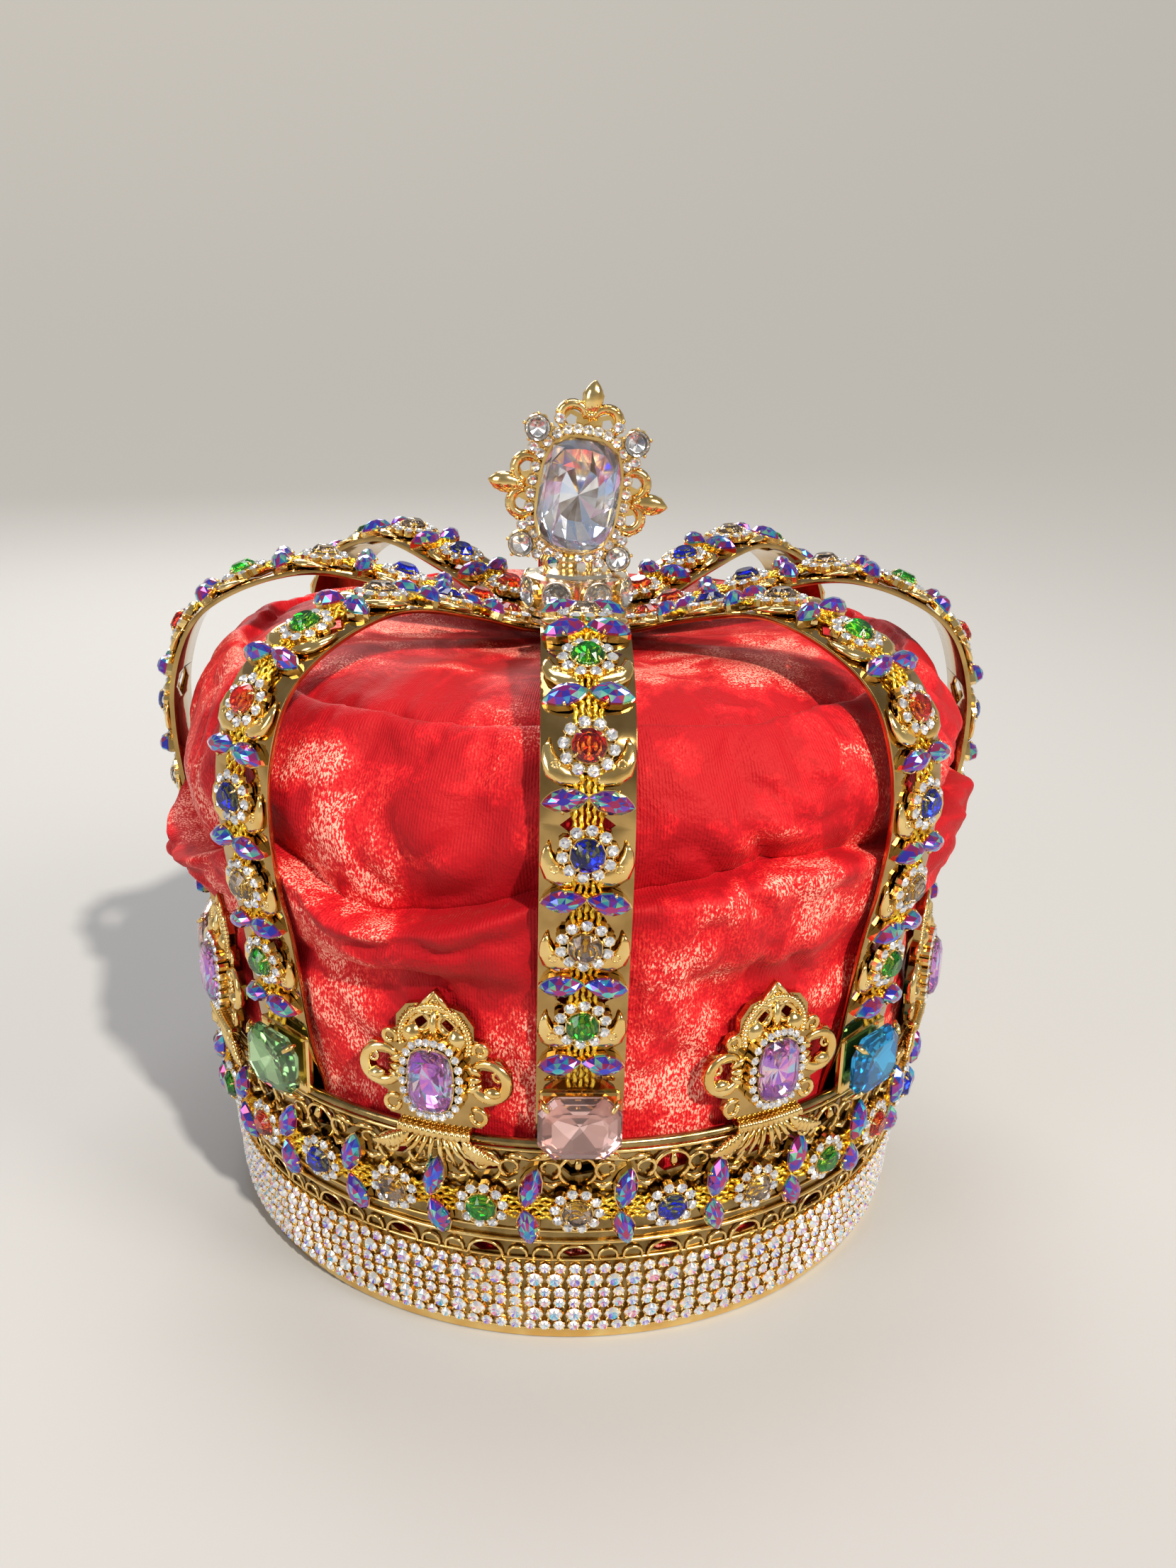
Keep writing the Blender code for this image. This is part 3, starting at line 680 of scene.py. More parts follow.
def foil_backing(name, bright, deep, patches):
    """Mirror foil on the back facets, broken into bright and dark patches of painted reflection that show
    through the stone.
    """
    made, tree, shader = new_material(name, {"Metallic": 0.85, "Roughness": 0.05})
    where = add(tree, "ShaderNodeTexCoord").outputs["Object"]
    # Painted reflection: random cells of bright and dark foil stand for the light and shade that the back
    # facets catch
    cells = add(tree, "ShaderNodeTexVoronoi", {"Scale": patches}, {"Vector": where}).outputs["Color"]
    shade = add(tree, "ShaderNodeSeparateColor", links={"Color": cells}).outputs["Red"]
    feed(shader, {"Base Color": ramp(tree, shade, ((0.1, deep), (0.75, bright)))})
    return made


def crushed_velvet():
    """Red panne velvet: short pile pressed in all directions over a fine knit. Patches of painted pink sheen,
    with painted glints in them, lie over its deep red."""
    made, tree, shader = new_material("red_panne_velvet", {
        "Sheen Weight": 0.16, "Sheen Roughness": 0.3, "Sheen Tint": linear("#FF7A6C"),
        "Specular IOR Level": 0.5, "Specular Tint": linear("#FF9C8C")})
    places = add(tree, "ShaderNodeTexCoord").outputs
    where = places["Object"]
    across = add(tree, "ShaderNodeSeparateXYZ", links={"Vector": places["UV"]}).outputs["X"]
    crush = noise_at(tree, where, 70.0, 5.0, Roughness=0.6, Distortion=0.4)
    patch = noise_at(tree, where, 22.0, 2.0, Distortion=0.3)
    upright = add(tree, "ShaderNodeMapping", {"Scale": (1.0, 1.0, 0.45)}, {"Vector": where}).outputs["Vector"]
    grain = noise_at(tree, upright, 2300.0, 2.0, Roughness=0.6)
    # Painted sheen: noise patches where the colour turns pink, and painted glints from the fine grain inside
    # them
    sheen_patch_mask = ranged(tree, computed(tree, "MULTIPLY", crush, patch), (0.21, 0.36))
    glint_grain = ranged(tree, grain, (0.43, 0.63), (0.0, 1.2))
    painted_glints = computed(tree, "MULTIPLY", sheen_patch_mask, glint_grain)
    painted_sheen_and_glints = computed(tree, "MULTIPLY_ADD", sheen_patch_mask, 0.25, painted_glints)
    ribs = computed(tree, "SINE", computed(tree, "MULTIPLY", across, tau * VELVET_RIBS))
    pile = computed(tree, "MULTIPLY_ADD", ribs, 0.16, grain)
    # The first stop is the velvet's own deep red; the stops above it are the painted sheen and the painted
    # glints
    stops = ((0.0, "#A00816"), (0.25, "#C81420"), (0.6, "#DC3830"), (1.0, "#FFB09A"))
    feed(shader, {
        "Base Color": ramp(tree, painted_sheen_and_glints, stops),
        "Roughness": ranged(tree, painted_sheen_and_glints, (0.0, 1.5), (0.62, 0.32)),
        "Normal": bumped(tree, crush, 0.7, 0.0022, bumped(tree, pile, 0.6, 0.0003))})
    return made


gold = polished_gold_plate()
strip = brass_strip()
antique = antique_gold_wire()
gimp = woven_gold_wire()
champagne = champagne_plate()
velvet = crushed_velvet()
volcano = volcano_glass()
clear_facets = clear_foil()
rhinestone_finishes = (aurora_foil(), aurora_heart())
stone_finishes = {
    colour: (tinted_glass(f"{colour}_glass", tint), foil_backing(f"{colour}_foil", bright, deep, patches))
    for colour, (tint, bright, deep, patches) in STONE_TINTS.items()}
crystal_finishes = (stone_finishes["clear"][0], crystal_foil())
badge_stone_finishes = (tinted_glass("aurora_glass", "#F8EEFC"), aurora_violet_foil())


# Stones, each modelled once
def foil_behind(stone, finishes, girdle, depth):
    """Clear glass down to the girdle, which lies at Z = 0, and foil on the facets behind it."""
    finish_with(stone, *finishes)
    for face in stone.data.polygons:
        face.material_index = 1 if face.center.z < -girdle / 2 - depth * 0.02 else 0


def cushion_reach(x, y, squareness):
    """How far a cushion-shaped outline reaches beyond a round one, towards a point."""
    reach = hypot(x, y)
    return (abs(x / reach) ** squareness + abs(y / reach) ** squareness) ** (-1 / squareness)


def round_stone(radius, girdle, crown, table, depth, sides, finishes):
    """A round brilliant of clear glass with foil on its back facets; its girdle lies at Z = 0."""
    stone = new_mesh(bpy.ops.mesh.primitive_cylinder_add, vertices=sides, radius=radius, depth=girdle)
    open_faces(stone, facing_up)
    facet_row(crown, table, turn=pi / sides)
    close_edit()
    open_faces(stone, facing_down)
    facet_row(-depth * 0.55, 0.62, turn=pi / sides)
    facet_point(depth * 0.45)
    split_facets()
    foil_behind(stone, finishes, girdle, depth)
    return stone


def rhinestone(radius, finishes):
    """A small foiled stone in its cup: a ring of crown facets round the facets of its back."""
    stone = new_mesh(bpy.ops.mesh.primitive_circle_add, vertices=8, radius=radius, fill_type="NGON")
    open_faces(stone, lambda face: True)
    facet_row(radius * 0.42, 0.62, turn=pi / 8)
    facet_point(radius * 0.34)
    split_facets()
    finish_with(stone, *finishes)
    for face in stone.data.polygons:
        inside = hypot(face.center.x, face.center.y) < radius * 0.5
        face.material_index = 1 if inside else 0
    return stone


def cup(radius, height, sides, well=0.0):
    """A metal cup that stands on Z = 0; its floor lies below its rim by the depth of its well."""
    made = new_mesh(
        bpy.ops.mesh.primitive_cylinder_add, vertices=sides, radius=radius, depth=height,
        location=(0.0, 0.0, height / 2))
    open_faces(made, facing_up)
    bpy.ops.transform.resize(value=(0.93, 0.93, 1.0), center_override=(0.0, 0.0, 0.0))
    if well:
        facet_row(0.0, 0.90)
        facet_row(-well, 0.94)
    close_edit()
    return finish_with(joined([made]), gold)


def claw(length, thickness):
    """A rounded claw that lies along X."""
    made = new_mesh(bpy.ops.mesh.primitive_ico_sphere_add, subdivisions=1, radius=thickness / 2)
    made.scale.x = length / thickness
    made = finish_with(joined([made]), gold)
    bpy.ops.object.shade_smooth()
    return made


def set_rhinestone(radius, height, finishes, claws):
    """A rhinestone in its cup, held by claws at its corners."""
    parts = [cup(radius * 1.16, height, 8)]
    stone = rhinestone(radius, finishes)
    parts.append(copy_to(stone, shifted(0.0, 0.0, height)))
    grip = claw(radius * 0.7, radius * 0.34)
    for index in range(claws):
        turn = turned(pi / claws + tau * index / claws)
        lean = shifted(radius * 0.98, 0.0, height + radius * 0.1) @ turned(-0.5, "Y")
        parts.append(copy_to(grip, turn @ lean))
    discard(stone, grip)
    return joined(parts)


def navette(length, width, height):
    """A pointed oval stone in its cup, with two claws."""
    stone = new_mesh(bpy.ops.mesh.primitive_cylinder_add, vertices=12, radius=1.0, depth=0.0007)
    open_faces(stone, facing_up)
    facet_row(height * 0.36, 0.72, turn=pi / 12)
    facet_row(height * 0.16, 0.42, turn=pi / 12)
    split_facets()
    for vert in stone.data.vertices:
        reach = hypot(vert.co.x, vert.co.y)
        pinch = abs(vert.co.y) / reach if reach else 1.0
        vert.co.x *= length / 2
        vert.co.y *= width / 2 * (0.25 + 0.75 * pinch)
        vert.co.z += height * 0.45
    finish_with(stone, volcano)
    setting = joined([new_mesh(
        bpy.ops.mesh.primitive_cylinder_add, vertices=12, radius=1.0, depth=height * 0.42,
        location=(0.0, 0.0, height * 0.21))])
    for vert in setting.data.vertices:
        vert.co.x *= length * 0.53
        vert.co.y *= width * 0.54 * (0.25 + 0.75 * abs(vert.co.y))
    finish_with(setting, gold)
    grip = claw(width * 0.34, width * 0.16)
    parts = [stone, setting]
    for side in (1, -1):
        place = shifted(side * length * 0.08, side * width * 0.44, height * 0.58, side * pi / 2)
        parts.append(copy_to(grip, place @ turned(0.6, "Y")))
    discard(grip)
    return joined(parts)


def navette_pair(length, width, spread, bow):
    """Two pointed stones in a shallow V whose outer tips point to -Y."""
    stone = navette(length, width, 0.0040)
    parts = []
    for side in (1, -1):
        turn = turned(-side * bow) @ turned(side * 0.12, "Y")
        parts.append(copy_to(stone, shifted(side * spread, 0.0, 0.0) @ turn))
    discard(stone)
    return joined(parts)


def cluster(colour):
    """A round stone in a ring of ten rhinestones."""
    halo = set_rhinestone(0.00130, 0.0016, (clear_facets, clear_facets), 2)
    parts = [cup(0.0050, 0.0007, 12), cup(0.0040, 0.0025, 12, 0.0021)]
    for index in range(HALO_STONES):
        turn = tau * index / HALO_STONES
        place = shifted(HALO_RADIUS * cos(turn), HALO_RADIUS * sin(turn), 0.0003, turn)
        parts.append(copy_to(halo, place, index / HALO_STONES))
    stone = round_stone(
        CLUSTER_STONE, girdle=0.0005, crown=0.0013, table=0.62, depth=0.0018, sides=12,
        finishes=stone_finishes[colour])
    parts.append(copy_to(stone, shifted(0.0, 0.0, 0.0027)))
    grip = claw(0.0021, 0.0007)
    for index in range(4):
        turn = turned(pi / 4 + tau * index / 4)
        lean = shifted(0.0034, 0.0, 0.0031) @ turned(0.7, "Y")
        parts.append(copy_to(grip, turn @ lean))
    discard(halo, stone, grip)
    return joined(parts)


def braid_wires(place_at, length, closed):
    """Five wavy wires side by side, woven over and under; place_at gives a matrix for a length."""
    count = int(length / BRAID_STEP)
    strands = []
    for strand in range(BRAID_WIRES):
        across = (strand - 2.0) * BRAID_SPACING
        points = []
        for index in range(count + (0 if closed else 1)):
            along = length * index / count
            rise = 0.0009 + WEAVE_RISE * sin(tau * along / WEAVE_LENGTH + pi * strand)
            side = across + SWAY_WIDTH * sin(tau * along / SWAY_LENGTH + strand)
            points.append(place_at(along) @ Vector((side, 0.0, rise)))
        strands.append(wire(points, BRAID_WIRE, 0, closed))
    return strands


def emerald_stone(width, height, corner, girdle, crown, table, depth, finishes):
    """A cut-cornered stone with a stepped crown; its back is at Z = 0 and its back facets are foiled."""
    stone = joined([new_mesh(bpy.ops.mesh.primitive_cube_add, size=1.0, scale=(width, height, girdle))])
    bpy.ops.object.mode_set(mode="EDIT")
    bpy.ops.mesh.select_mode(type="EDGE")
    bpy.ops.mesh.select_all(action="DESELECT")
    close_edit()
    points = stone.data.vertices
    for edge in stone.data.edges:
        low, high = edge.vertices
        edge.select = abs(points[low].co.z - points[high].co.z) > girdle / 2
    bpy.ops.object.mode_set(mode="EDIT")
    bpy.ops.mesh.bevel(offset=corner, offset_type="OFFSET", segments=1, affect="EDGES")
    close_edit()
    open_faces(stone, facing_up)
    facet_row(crown * 0.5, 0.88)
    facet_row(crown * 0.5, table / 0.88)
    close_edit()
    open_faces(stone, facing_down)
    facet_row(-depth * 0.2, 0.90)
    facet_point(depth * 0.8)
    close_edit()
    foil_behind(stone, finishes, girdle, depth)
    for vert in stone.data.vertices:
        vert.co.z += girdle / 2 + depth
    return stone


def cushion_stone(width, height, girdle, crown, table, depth, finishes):
    """A cushion-shaped stone with triangular facets all round a big table, foiled behind."""
    sides = 16
    stone = new_mesh(bpy.ops.mesh.primitive_cylinder_add, vertices=sides, radius=1.0, depth=girdle)
    open_faces(stone, facing_up)
    facet_row(crown * 0.6, 0.86, turn=pi / sides)
    facet_row(crown * 0.4, table / 0.86, turn=pi / sides)
    close_edit()
    open_faces(stone, facing_down)
    facet_row(-depth * 0.4, 0.78, turn=pi / sides)
    facet_row(-depth * 0.35, 0.6, turn=pi / sides)
    facet_point(depth * 0.25)
    split_facets()
    foil_behind(stone, finishes, girdle, depth)
    for vert in stone.data.vertices:
        if hypot(vert.co.x, vert.co.y) > 0.001:
            share = cushion_reach(vert.co.x, vert.co.y, STONE_SQUARENESS)
            vert.co.x *= share * width / 2
            vert.co.y *= share * height / 2
        vert.co.z += girdle / 2 + depth
    return stone


# The rhinestone band and the circlet
def make_rhinestone_band():
    """Six rows of aurora rhinestones in gold cups, on a strip of dark gold net."""
    net = round_wall("net", RIM_HEIGHT + 0.0003, MESH_TOP, -0.0008, 0.0001, 152)
    finish_with(net, antique)
    parts = [net]
    for radius in (SMALL_RHINESTONE, LARGE_RHINESTONE):
        stone = set_rhinestone(radius, 0.0009, rhinestone_finishes, 4)
        for height, count, size in RHINESTONE_ROWS:
            if size == radius:
                for index in range(count):
                    azimuth = tau * index / count
                    parts.append(copy_to(stone, on_band(azimuth, height), draw.random()))
        discard(stone)
    return settle(joined(parts, "rhinestone_rows"), "rhinestone", "rhinestone_band")


def round_wall(name, low, high, inner, outer, sides):
    """A low ring wall that follows the band's flare; inner and outer are measured from it."""
    wall = joined([new_mesh(
        bpy.ops.mesh.primitive_cylinder_add, vertices=sides, radius=1.0, depth=high - low,
        end_fill_type="NOTHING", location=(0.0, 0.0, (low + high) / 2))], name)
    for vert in wall.data.vertices:
        reach = band_radius(vert.co.z) + outer
        vert.co.x *= reach
        vert.co.y *= reach
    apply_modifier(wall, "SOLIDIFY", thickness=outer - inner, offset=-1.0)
    return wall


def ring_wire(radius, height, thickness, sides=6):
    made = new_mesh(
        bpy.ops.mesh.primitive_torus_add, major_segments=112, minor_segments=sides,
        major_radius=radius, minor_radius=thickness / 2, location=(0.0, 0.0, height))
    bpy.ops.object.shade_smooth()
    return finish_with(joined([made]), gold)


def tracery_unit():
    """The pierced pattern over one cluster: a loop, two scrolls and a bud, drawn in gold wire."""
    parts = [
        wire(arc_points((0.0, 0.0), 0.0042, -60, 240, 18, 0.0004), 0.0009),
        wire([(0.0, 0.0004, 0.0005), (0.0, 0.0022, 0.0009), (0.0, 0.0040, 0.0006)], 0.0016,
             swell=bulge(0.5, 0.8)),
    ]
    curl = [
        wire(arc_points((0.0066, 0.0008), (0.0030, 0.0012), 250, -60, 16, 0.0006), 0.0009,
             swell=thinner(1.2, 0.4)),
        wire([(0.0036, -0.0030, 0.0002), (0.0056, -0.0036, 0.0007), (0.0078, -0.0028, 0.0005)], 0.0011,
             swell=bulge(0.6, 0.8)),
        wire([(0.0050, 0.0036, 0.0002), (0.0080, 0.0042, 0.0006), (0.0108, 0.0030, 0.0002)], 0.0010,
             swell=bulge(0.6, 0.8)),
    ]
    parts += curl + mirrored(curl)
    return finish_with(joined(parts), gold)


def make_circlet_trim():
    """Edge wires, scalloped loops over the rhinestones and scrollwork over the clusters."""
    parts = [ring_wire(band_radius(height) + proud, height, thickness)
             for height, proud, thickness in EDGE_WIRES]
    unit = tracery_unit()
    loop = finish_with(wire(arc_points((0.0, 0.0), 0.0040, -10, 190, 12), 0.0008), gold)
    small = finish_with(wire(arc_points((0.0, 0.0), 0.0022, -20, 200, 9), 0.0007), gold)
    for index in range(CLUSTER_COUNT):
        azimuth = tau * index / CLUSTER_COUNT
        parts.append(copy_to(unit, on_band(azimuth, SCROLL_HEIGHT, TRIM_PROUD)))
        flat = Matrix.Diagonal((1.0, 0.85, 1.0, 1.0))
        parts.append(copy_to(loop, on_band(azimuth, LOOP_HEIGHT, TRIM_PROUD) @ flat))
        for side in (0.36, 0.64):
            between = azimuth + tau * side / CLUSTER_COUNT
            parts.append(copy_to(small, on_band(between, SMALL_LOOP_HEIGHT, TRIM_PROUD)))
    discard(unit, loop, small)
    return settle(joined(parts, "circlet_scrollwork"), "gold")


# The stone chains
def make_ring_chain(clusters, pair):
    reach = band_radius(RING_CHAIN_HEIGHT)
    sideways = turned(pi / 2)
    length = tau * reach

    def place_at(along):
        return on_band(along / reach, RING_CHAIN_HEIGHT, CHAIN_SEAT) @ sideways

    parts = [finish_with(strand, gimp) for strand in braid_wires(place_at, length, True)]
    for index, colour in enumerate(RING_COLOURS):
        azimuth = tau * index / CLUSTER_COUNT
        seat = on_band(azimuth, RING_CHAIN_HEIGHT, CHAIN_SEAT)
        parts.append(copy_to(clusters[colour], seat @ turned(draw.uniform(-0.3, 0.3))))
        between = azimuth + tau * 0.5 / CLUSTER_COUNT
        middle = on_band(between, RING_CHAIN_HEIGHT + 0.0006, CHAIN_SEAT)
        parts.append(copy_to(pair, middle @ sideways @ turned(draw.uniform(-0.08, 0.08)),
                             draw.random()))
    return settle(joined(parts, "circlet_stone_chain"), "jewel_chain", "circlet_chain")


def make_arch_chains(clusters, pair):
    start = ARCH_CHAIN_START + ARCH_FOOT_LENGTH
    first = FIRST_PAIR + ARCH_FOOT_LENGTH
    stop = first + ARCH_CHAIN_PITCH * (ARCH_CHAIN_PAIRS - 0.5) + 0.005
    for arch in range(ARCH_COUNT):
        azimuth = tau * arch / ARCH_COUNT

        def place_at(along):
            return on_arch(azimuth, start + along)

        parts = [finish_with(strand, gimp) for strand in braid_wires(place_at, stop - start, False)]
        for index in range(ARCH_CHAIN_PAIRS):
            middle = first + ARCH_CHAIN_PITCH * index
            tilt = turned(draw.uniform(-0.07, 0.07))
            parts.append(copy_to(pair, on_arch(azimuth, middle) @ tilt, draw.random()))
            colour = ARCH_COLOURS[index]
            seat = on_arch(azimuth, middle + ARCH_CHAIN_PITCH / 2)
            parts.append(copy_to(clusters[colour], seat @ turned(draw.uniform(-0.3, 0.3))))
        settle(joined(parts, f"arch_stone_chain_{arch + 1}"), "jewel_chain", f"arch_chain_{arch + 1}")


# The velvet cap
def make_velvet_cap():
    """The velvet, gathered at the rim: folds, puffs between the arches and fine crush wrinkles."""
    rows = smooth_rows(CAP_ROWS, 12)
    cap = new_mesh(
        bpy.ops.mesh.primitive_grid_add, x_subdivisions=CAP_AROUND, y_subdivisions=CAP_UP, size=1.0)
    for vert in cap.data.vertices:
        vert.co = cap_point(rows, vert.co.x + 0.5, vert.co.y + 0.5)
    bpy.ops.object.mode_set(mode="EDIT")
    bpy.ops.mesh.select_all(action="SELECT")
    bpy.ops.mesh.remove_doubles(threshold=0.00002)
    bpy.ops.mesh.normals_make_consistent(inside=False)
    close_edit()
    apply_modifier(cap, "SOLIDIFY", thickness=CAP_WALL, offset=-1.0)
    bpy.ops.object.shade_smooth()
    cap = finish_with(joined([cap], "gathered_velvet"), velvet)
    settle(cap, "velvet", "velvet_cap")
    return cap


def hump(apart, half):
    return 0.5 + 0.5 * cos(pi * min(abs(apart) / half, 1.0))


def apart_angle(azimuth, other):
    return (azimuth - other + pi) % tau - pi


def cap_point(rows, around, up):
    """A point of the velvet: around and up run from 0 to 1."""
    azimuth = tau * around
    place = up * (len(rows) - 1)
    low = min(floor(place), len(rows) - 2)
    height, between, under = [
        a + (place - low) * (b - a) for a, b in zip(rows[low], rows[low + 1])]
    nearest = apart_angle(azimuth * ARCH_COUNT, 0.0) / ARCH_COUNT
    share = hump(pi / ARCH_COUNT - abs(nearest), pi / ARCH_COUNT) ** 0.6
    weight = 0.0
    if FOLD_LOW < height <= FOLD_HEIGHT:
        weight = (height - FOLD_LOW) / (FOLD_HEIGHT - FOLD_LOW)
    elif FOLD_HEIGHT < height < FOLD_HIGH:
        weight = (FOLD_HIGH - height) / (FOLD_HIGH - FOLD_HEIGHT)
    shift = 0.0
    swell = 0.0
    for middle, half, fold_shift, extra in CAP_SAGS:
        near = hump(apart_angle(azimuth, middle), half)
        shift += near * fold_shift
        swell += near * extra
    radius = under + share * (between - under) + share * weight ** 2 * swell
    for middle, half, level, half_height, rise in CAP_PUFFS:
        radius += rise * hump(apart_angle(azimuth, middle), half) * hump(height - level, half_height)
    folds = noise.fractal(Vector((azimuth * 5.5, height * 26.0, 3.0)), 0.9, 2.1, 3)
    creases = 1.0 - abs(noise.noise(Vector((azimuth * 7.0 + up * 0.9, height * 55.0, 8.0)))) * 2.0
    slant = noise.noise(Vector((azimuth * 6.0 + height * 60.0, height * 34.0, 14.0)))
    waves = noise.noise(Vector((azimuth * 4.0, height * 18.0, 21.0)))
    loose = (height - CAP_TIGHT_HEIGHT) / (CAP_LOOSE_HEIGHT - CAP_TIGHT_HEIGHT)
    lively = min(max(loose, 0.0), 1.0) * min(radius / 0.05, 1.0)
    free = 0.35 + 0.65 * share
    crumple = FOLD_DEPTH * folds + SLANT_DEPTH * slant - CREASE_DEPTH * max(creases - 0.5, 0.0) / 0.5
    if height < FOLD_LOW:
        crumple = min(crumple, BULGE_AT_RIM)
    radius += lively * free * crumple
    beside = max(abs(nearest) - ARCH_HALF_ANGLE, 0.0)
    radius = min(radius, under + UNDER_ARCH_ROOM + 0.1 * beside)
    level = height + share * weight * shift + WAVE_RISE * lively * waves
    return Vector((radius * sin(azimuth), -radius * cos(azimuth), level))


# Stones at the arches' feet, in their cushion settings
def make_foot_stones():
    width, height, corner = FOOT_STONE
    for index, colour in enumerate(FOOT_COLOURS):
        stone = emerald_stone(
            width, height, corner, girdle=0.0010, crown=0.0020, table=0.66, depth=0.0022,
            finishes=stone_finishes[colour])
        seat = on_side(tau * index / ARCH_COUNT, FOOT_STONE_BACK + 0.0004, FOOT_STONE_HEIGHT)
        stone.data.transform(seat)
        settle(joined([stone], f"foot_crystal_{index + 1}"), "foot_crystal", f"foot_stone_{index + 1}")


# Cast ornaments, drawn flat with +Y up and +Z outwards
def ring_of_stones(stone, half_width, half_height, count):
    """Copies of a small set stone along a cushion-shaped ring."""
    made = []
    for index in range(count):
        turn = tau * (index + 0.5) / count
        share = cushion_reach(cos(turn), sin(turn), RING_SQUARENESS)
        place = shifted(half_width * share * cos(turn), half_height * share * sin(turn), 0.0, turn)
        made.append(copy_to(stone, place, draw.random()))
    return made


def flattened(piece, share):
    """Press a cast piece flat by a share of its height."""
    piece.data.transform(Matrix.Diagonal((1.0, 1.0, share, 1.0)))
    return piece


def cushion_cup(half_width, half_height, thickness, well):
    """A cushion-shaped setting that stands on Z = 0, with a well for its stone."""
    setting = new_mesh(
        bpy.ops.mesh.primitive_cylinder_add, vertices=24, radius=1.0, depth=thickness,
        location=(0.0, 0.0, thickness / 2))
    open_faces(setting, facing_up)
    facet_row(0.0, 0.90)
    facet_row(-well, 0.94)
    close_edit()
    setting = joined([setting])
    for vert in setting.data.vertices:
        share = cushion_reach(vert.co.x, vert.co.y, SETTING_SQUARENESS)
        vert.co.x *= share * half_width
        vert.co.y *= share * half_height
    return finish_with(setting, gold)


def almond_leaf(length, width, height):
    """A plump pointed leaf with its root at the origin, growing to +Y."""
    leaf = new_mesh(bpy.ops.mesh.primitive_uv_sphere_add, segments=12, ring_count=10, radius=1.0)
    for vert in leaf.data.vertices:
        across, deep, up = vert.co
        along = (up + 1.0) / 2
        reach = hypot(across, deep) or 1.0
        plump = sin(pi * along ** 1.2) ** 0.8 if 0.0 < along < 1.0 else 0.0
        half_wide = plump * width / 2
        half_deep = plump * height / 2
        vert.co = Vector((across / reach * half_wide, along * length, -deep / reach * half_deep))
    bpy.ops.object.shade_smooth()
    return leaf


def ribbed_bar(length, thickness, ribs, bend=0.0):
    """A bar with ribs round it, like a bound cord, along X."""
    count = ribs * 4
    points = []
    for index in range(count + 1):
        share = index / count
        points.append((length * (share - 0.5), bend * sin(pi * share), 0.0))
    return wire(points, thickness, 1, swell=lambda share: 1.0 + 0.16 * cos(tau * ribs * share))


def ribbed_leaf(length, width):
    """A leaf with cross ribs, from the origin towards +X."""
    count = 28
    shares = [index / count for index in range(count + 1)]
    points = [(length * share, -0.10 * length * sin(pi * share), 0.0) for share in shares]

    def swell(share):
        return (0.25 + 0.95 * sin(pi * share ** 0.8)) * (1.0 + 0.14 * cos(tau * 8 * share))

    return flattened(wire(points, width, 1, swell=swell), 0.6)


def badge_scrolls():
    """The right half of a badge's cast scrolls."""
    scroll = wire(arc_points((0.0124, 0.0146), (0.0043, 0.0041), 140, -170, 24), 0.0030,
                  swell=lambda share: 0.55 + 0.50 * sin(pi * share ** 1.3) ** 0.8)
    eyelet = wire(arc_points((0.0146, 0.0162), 0.0011, 0, 345.6, 12), 0.0009)
    pearl = almond_leaf(0.0034, 0.0044, 0.0032)
    pearl.data.transform(shifted(0.0134, 0.0106, 0.0004, radians(-8)))
    parts = [flattened(scroll, 0.8), eyelet, pearl]
    for rise in (-0.0024, 0.0, 0.0024):
        parts.append(wire([(0.0070, 0.0146 + rise * 1.3, 0.0), (0.0090, 0.0146 + rise, 0.0004),
                           (0.0108, 0.0146 + rise * 0.5, 0.0)], 0.0016,
                          swell=bulge(0.7, 0.5)))
    parts += [
        wire(arc_points((0.0106, 0.0218), (0.0017, 0.0012), 220, -120, 14), 0.0013),
        wire(arc_points((0.0100, 0.0052), (0.0021, 0.0015), 130, -200, 14), 0.0013),
    ]
    cheek = almond_leaf(0.0062, 0.0052, 0.0040)
    cheek.data.transform(shifted(0.0060, 0.0202, 0.0, radians(14)))
    brow = wire(arc_points((0.0033, 0.0268), 0.0023, 0, 345.6, 16), 0.0012)
    inner_arch = wire(arc_points((0.0, 0.0228), 0.0064, -12, 84, 14), 0.0012)
    peak = wire([(0.0030, 0.0304, 0.0), (0.0016, 0.0322, 0.0), (0.0, 0.0342, 0.0)], 0.0015,
                swell=thinner(1.0, 0.35))
    ledge = wire([(0.0, 0.0296, 0.0), (0.0030, 0.0300, 0.0), (0.0058, 0.0292, 0.0)], 0.0012)
    return parts + [cheek, brow, inner_arch, peak, ledge]


def badge_fan():
    """Acanthus below the badge's bar: thin ribs and one ribbed leaf on the right."""
    parts = []
    for index in range(4):
        spread = 0.0012 + 0.0020 * index
        parts.append(wire([(spread * 0.6, -0.0012, 0.0), (spread, -0.0048, 0.0006 - 0.0001 * index),
                           (spread * 1.5, -0.0088 + 0.0008 * index, 0.0)], 0.0014,
                          swell=thinner(1.1, 0.5)))
    leaf = ribbed_leaf(0.0096, 0.0034)
    leaf.data.transform(shifted(0.0064, -0.0014, 0.0004, radians(-24)))
    parts.append(leaf)
    parts.append(wire(arc_points((0.0104, -0.0058), (0.0020, 0.0009), 60, -220, 12), 0.0010))
    return parts


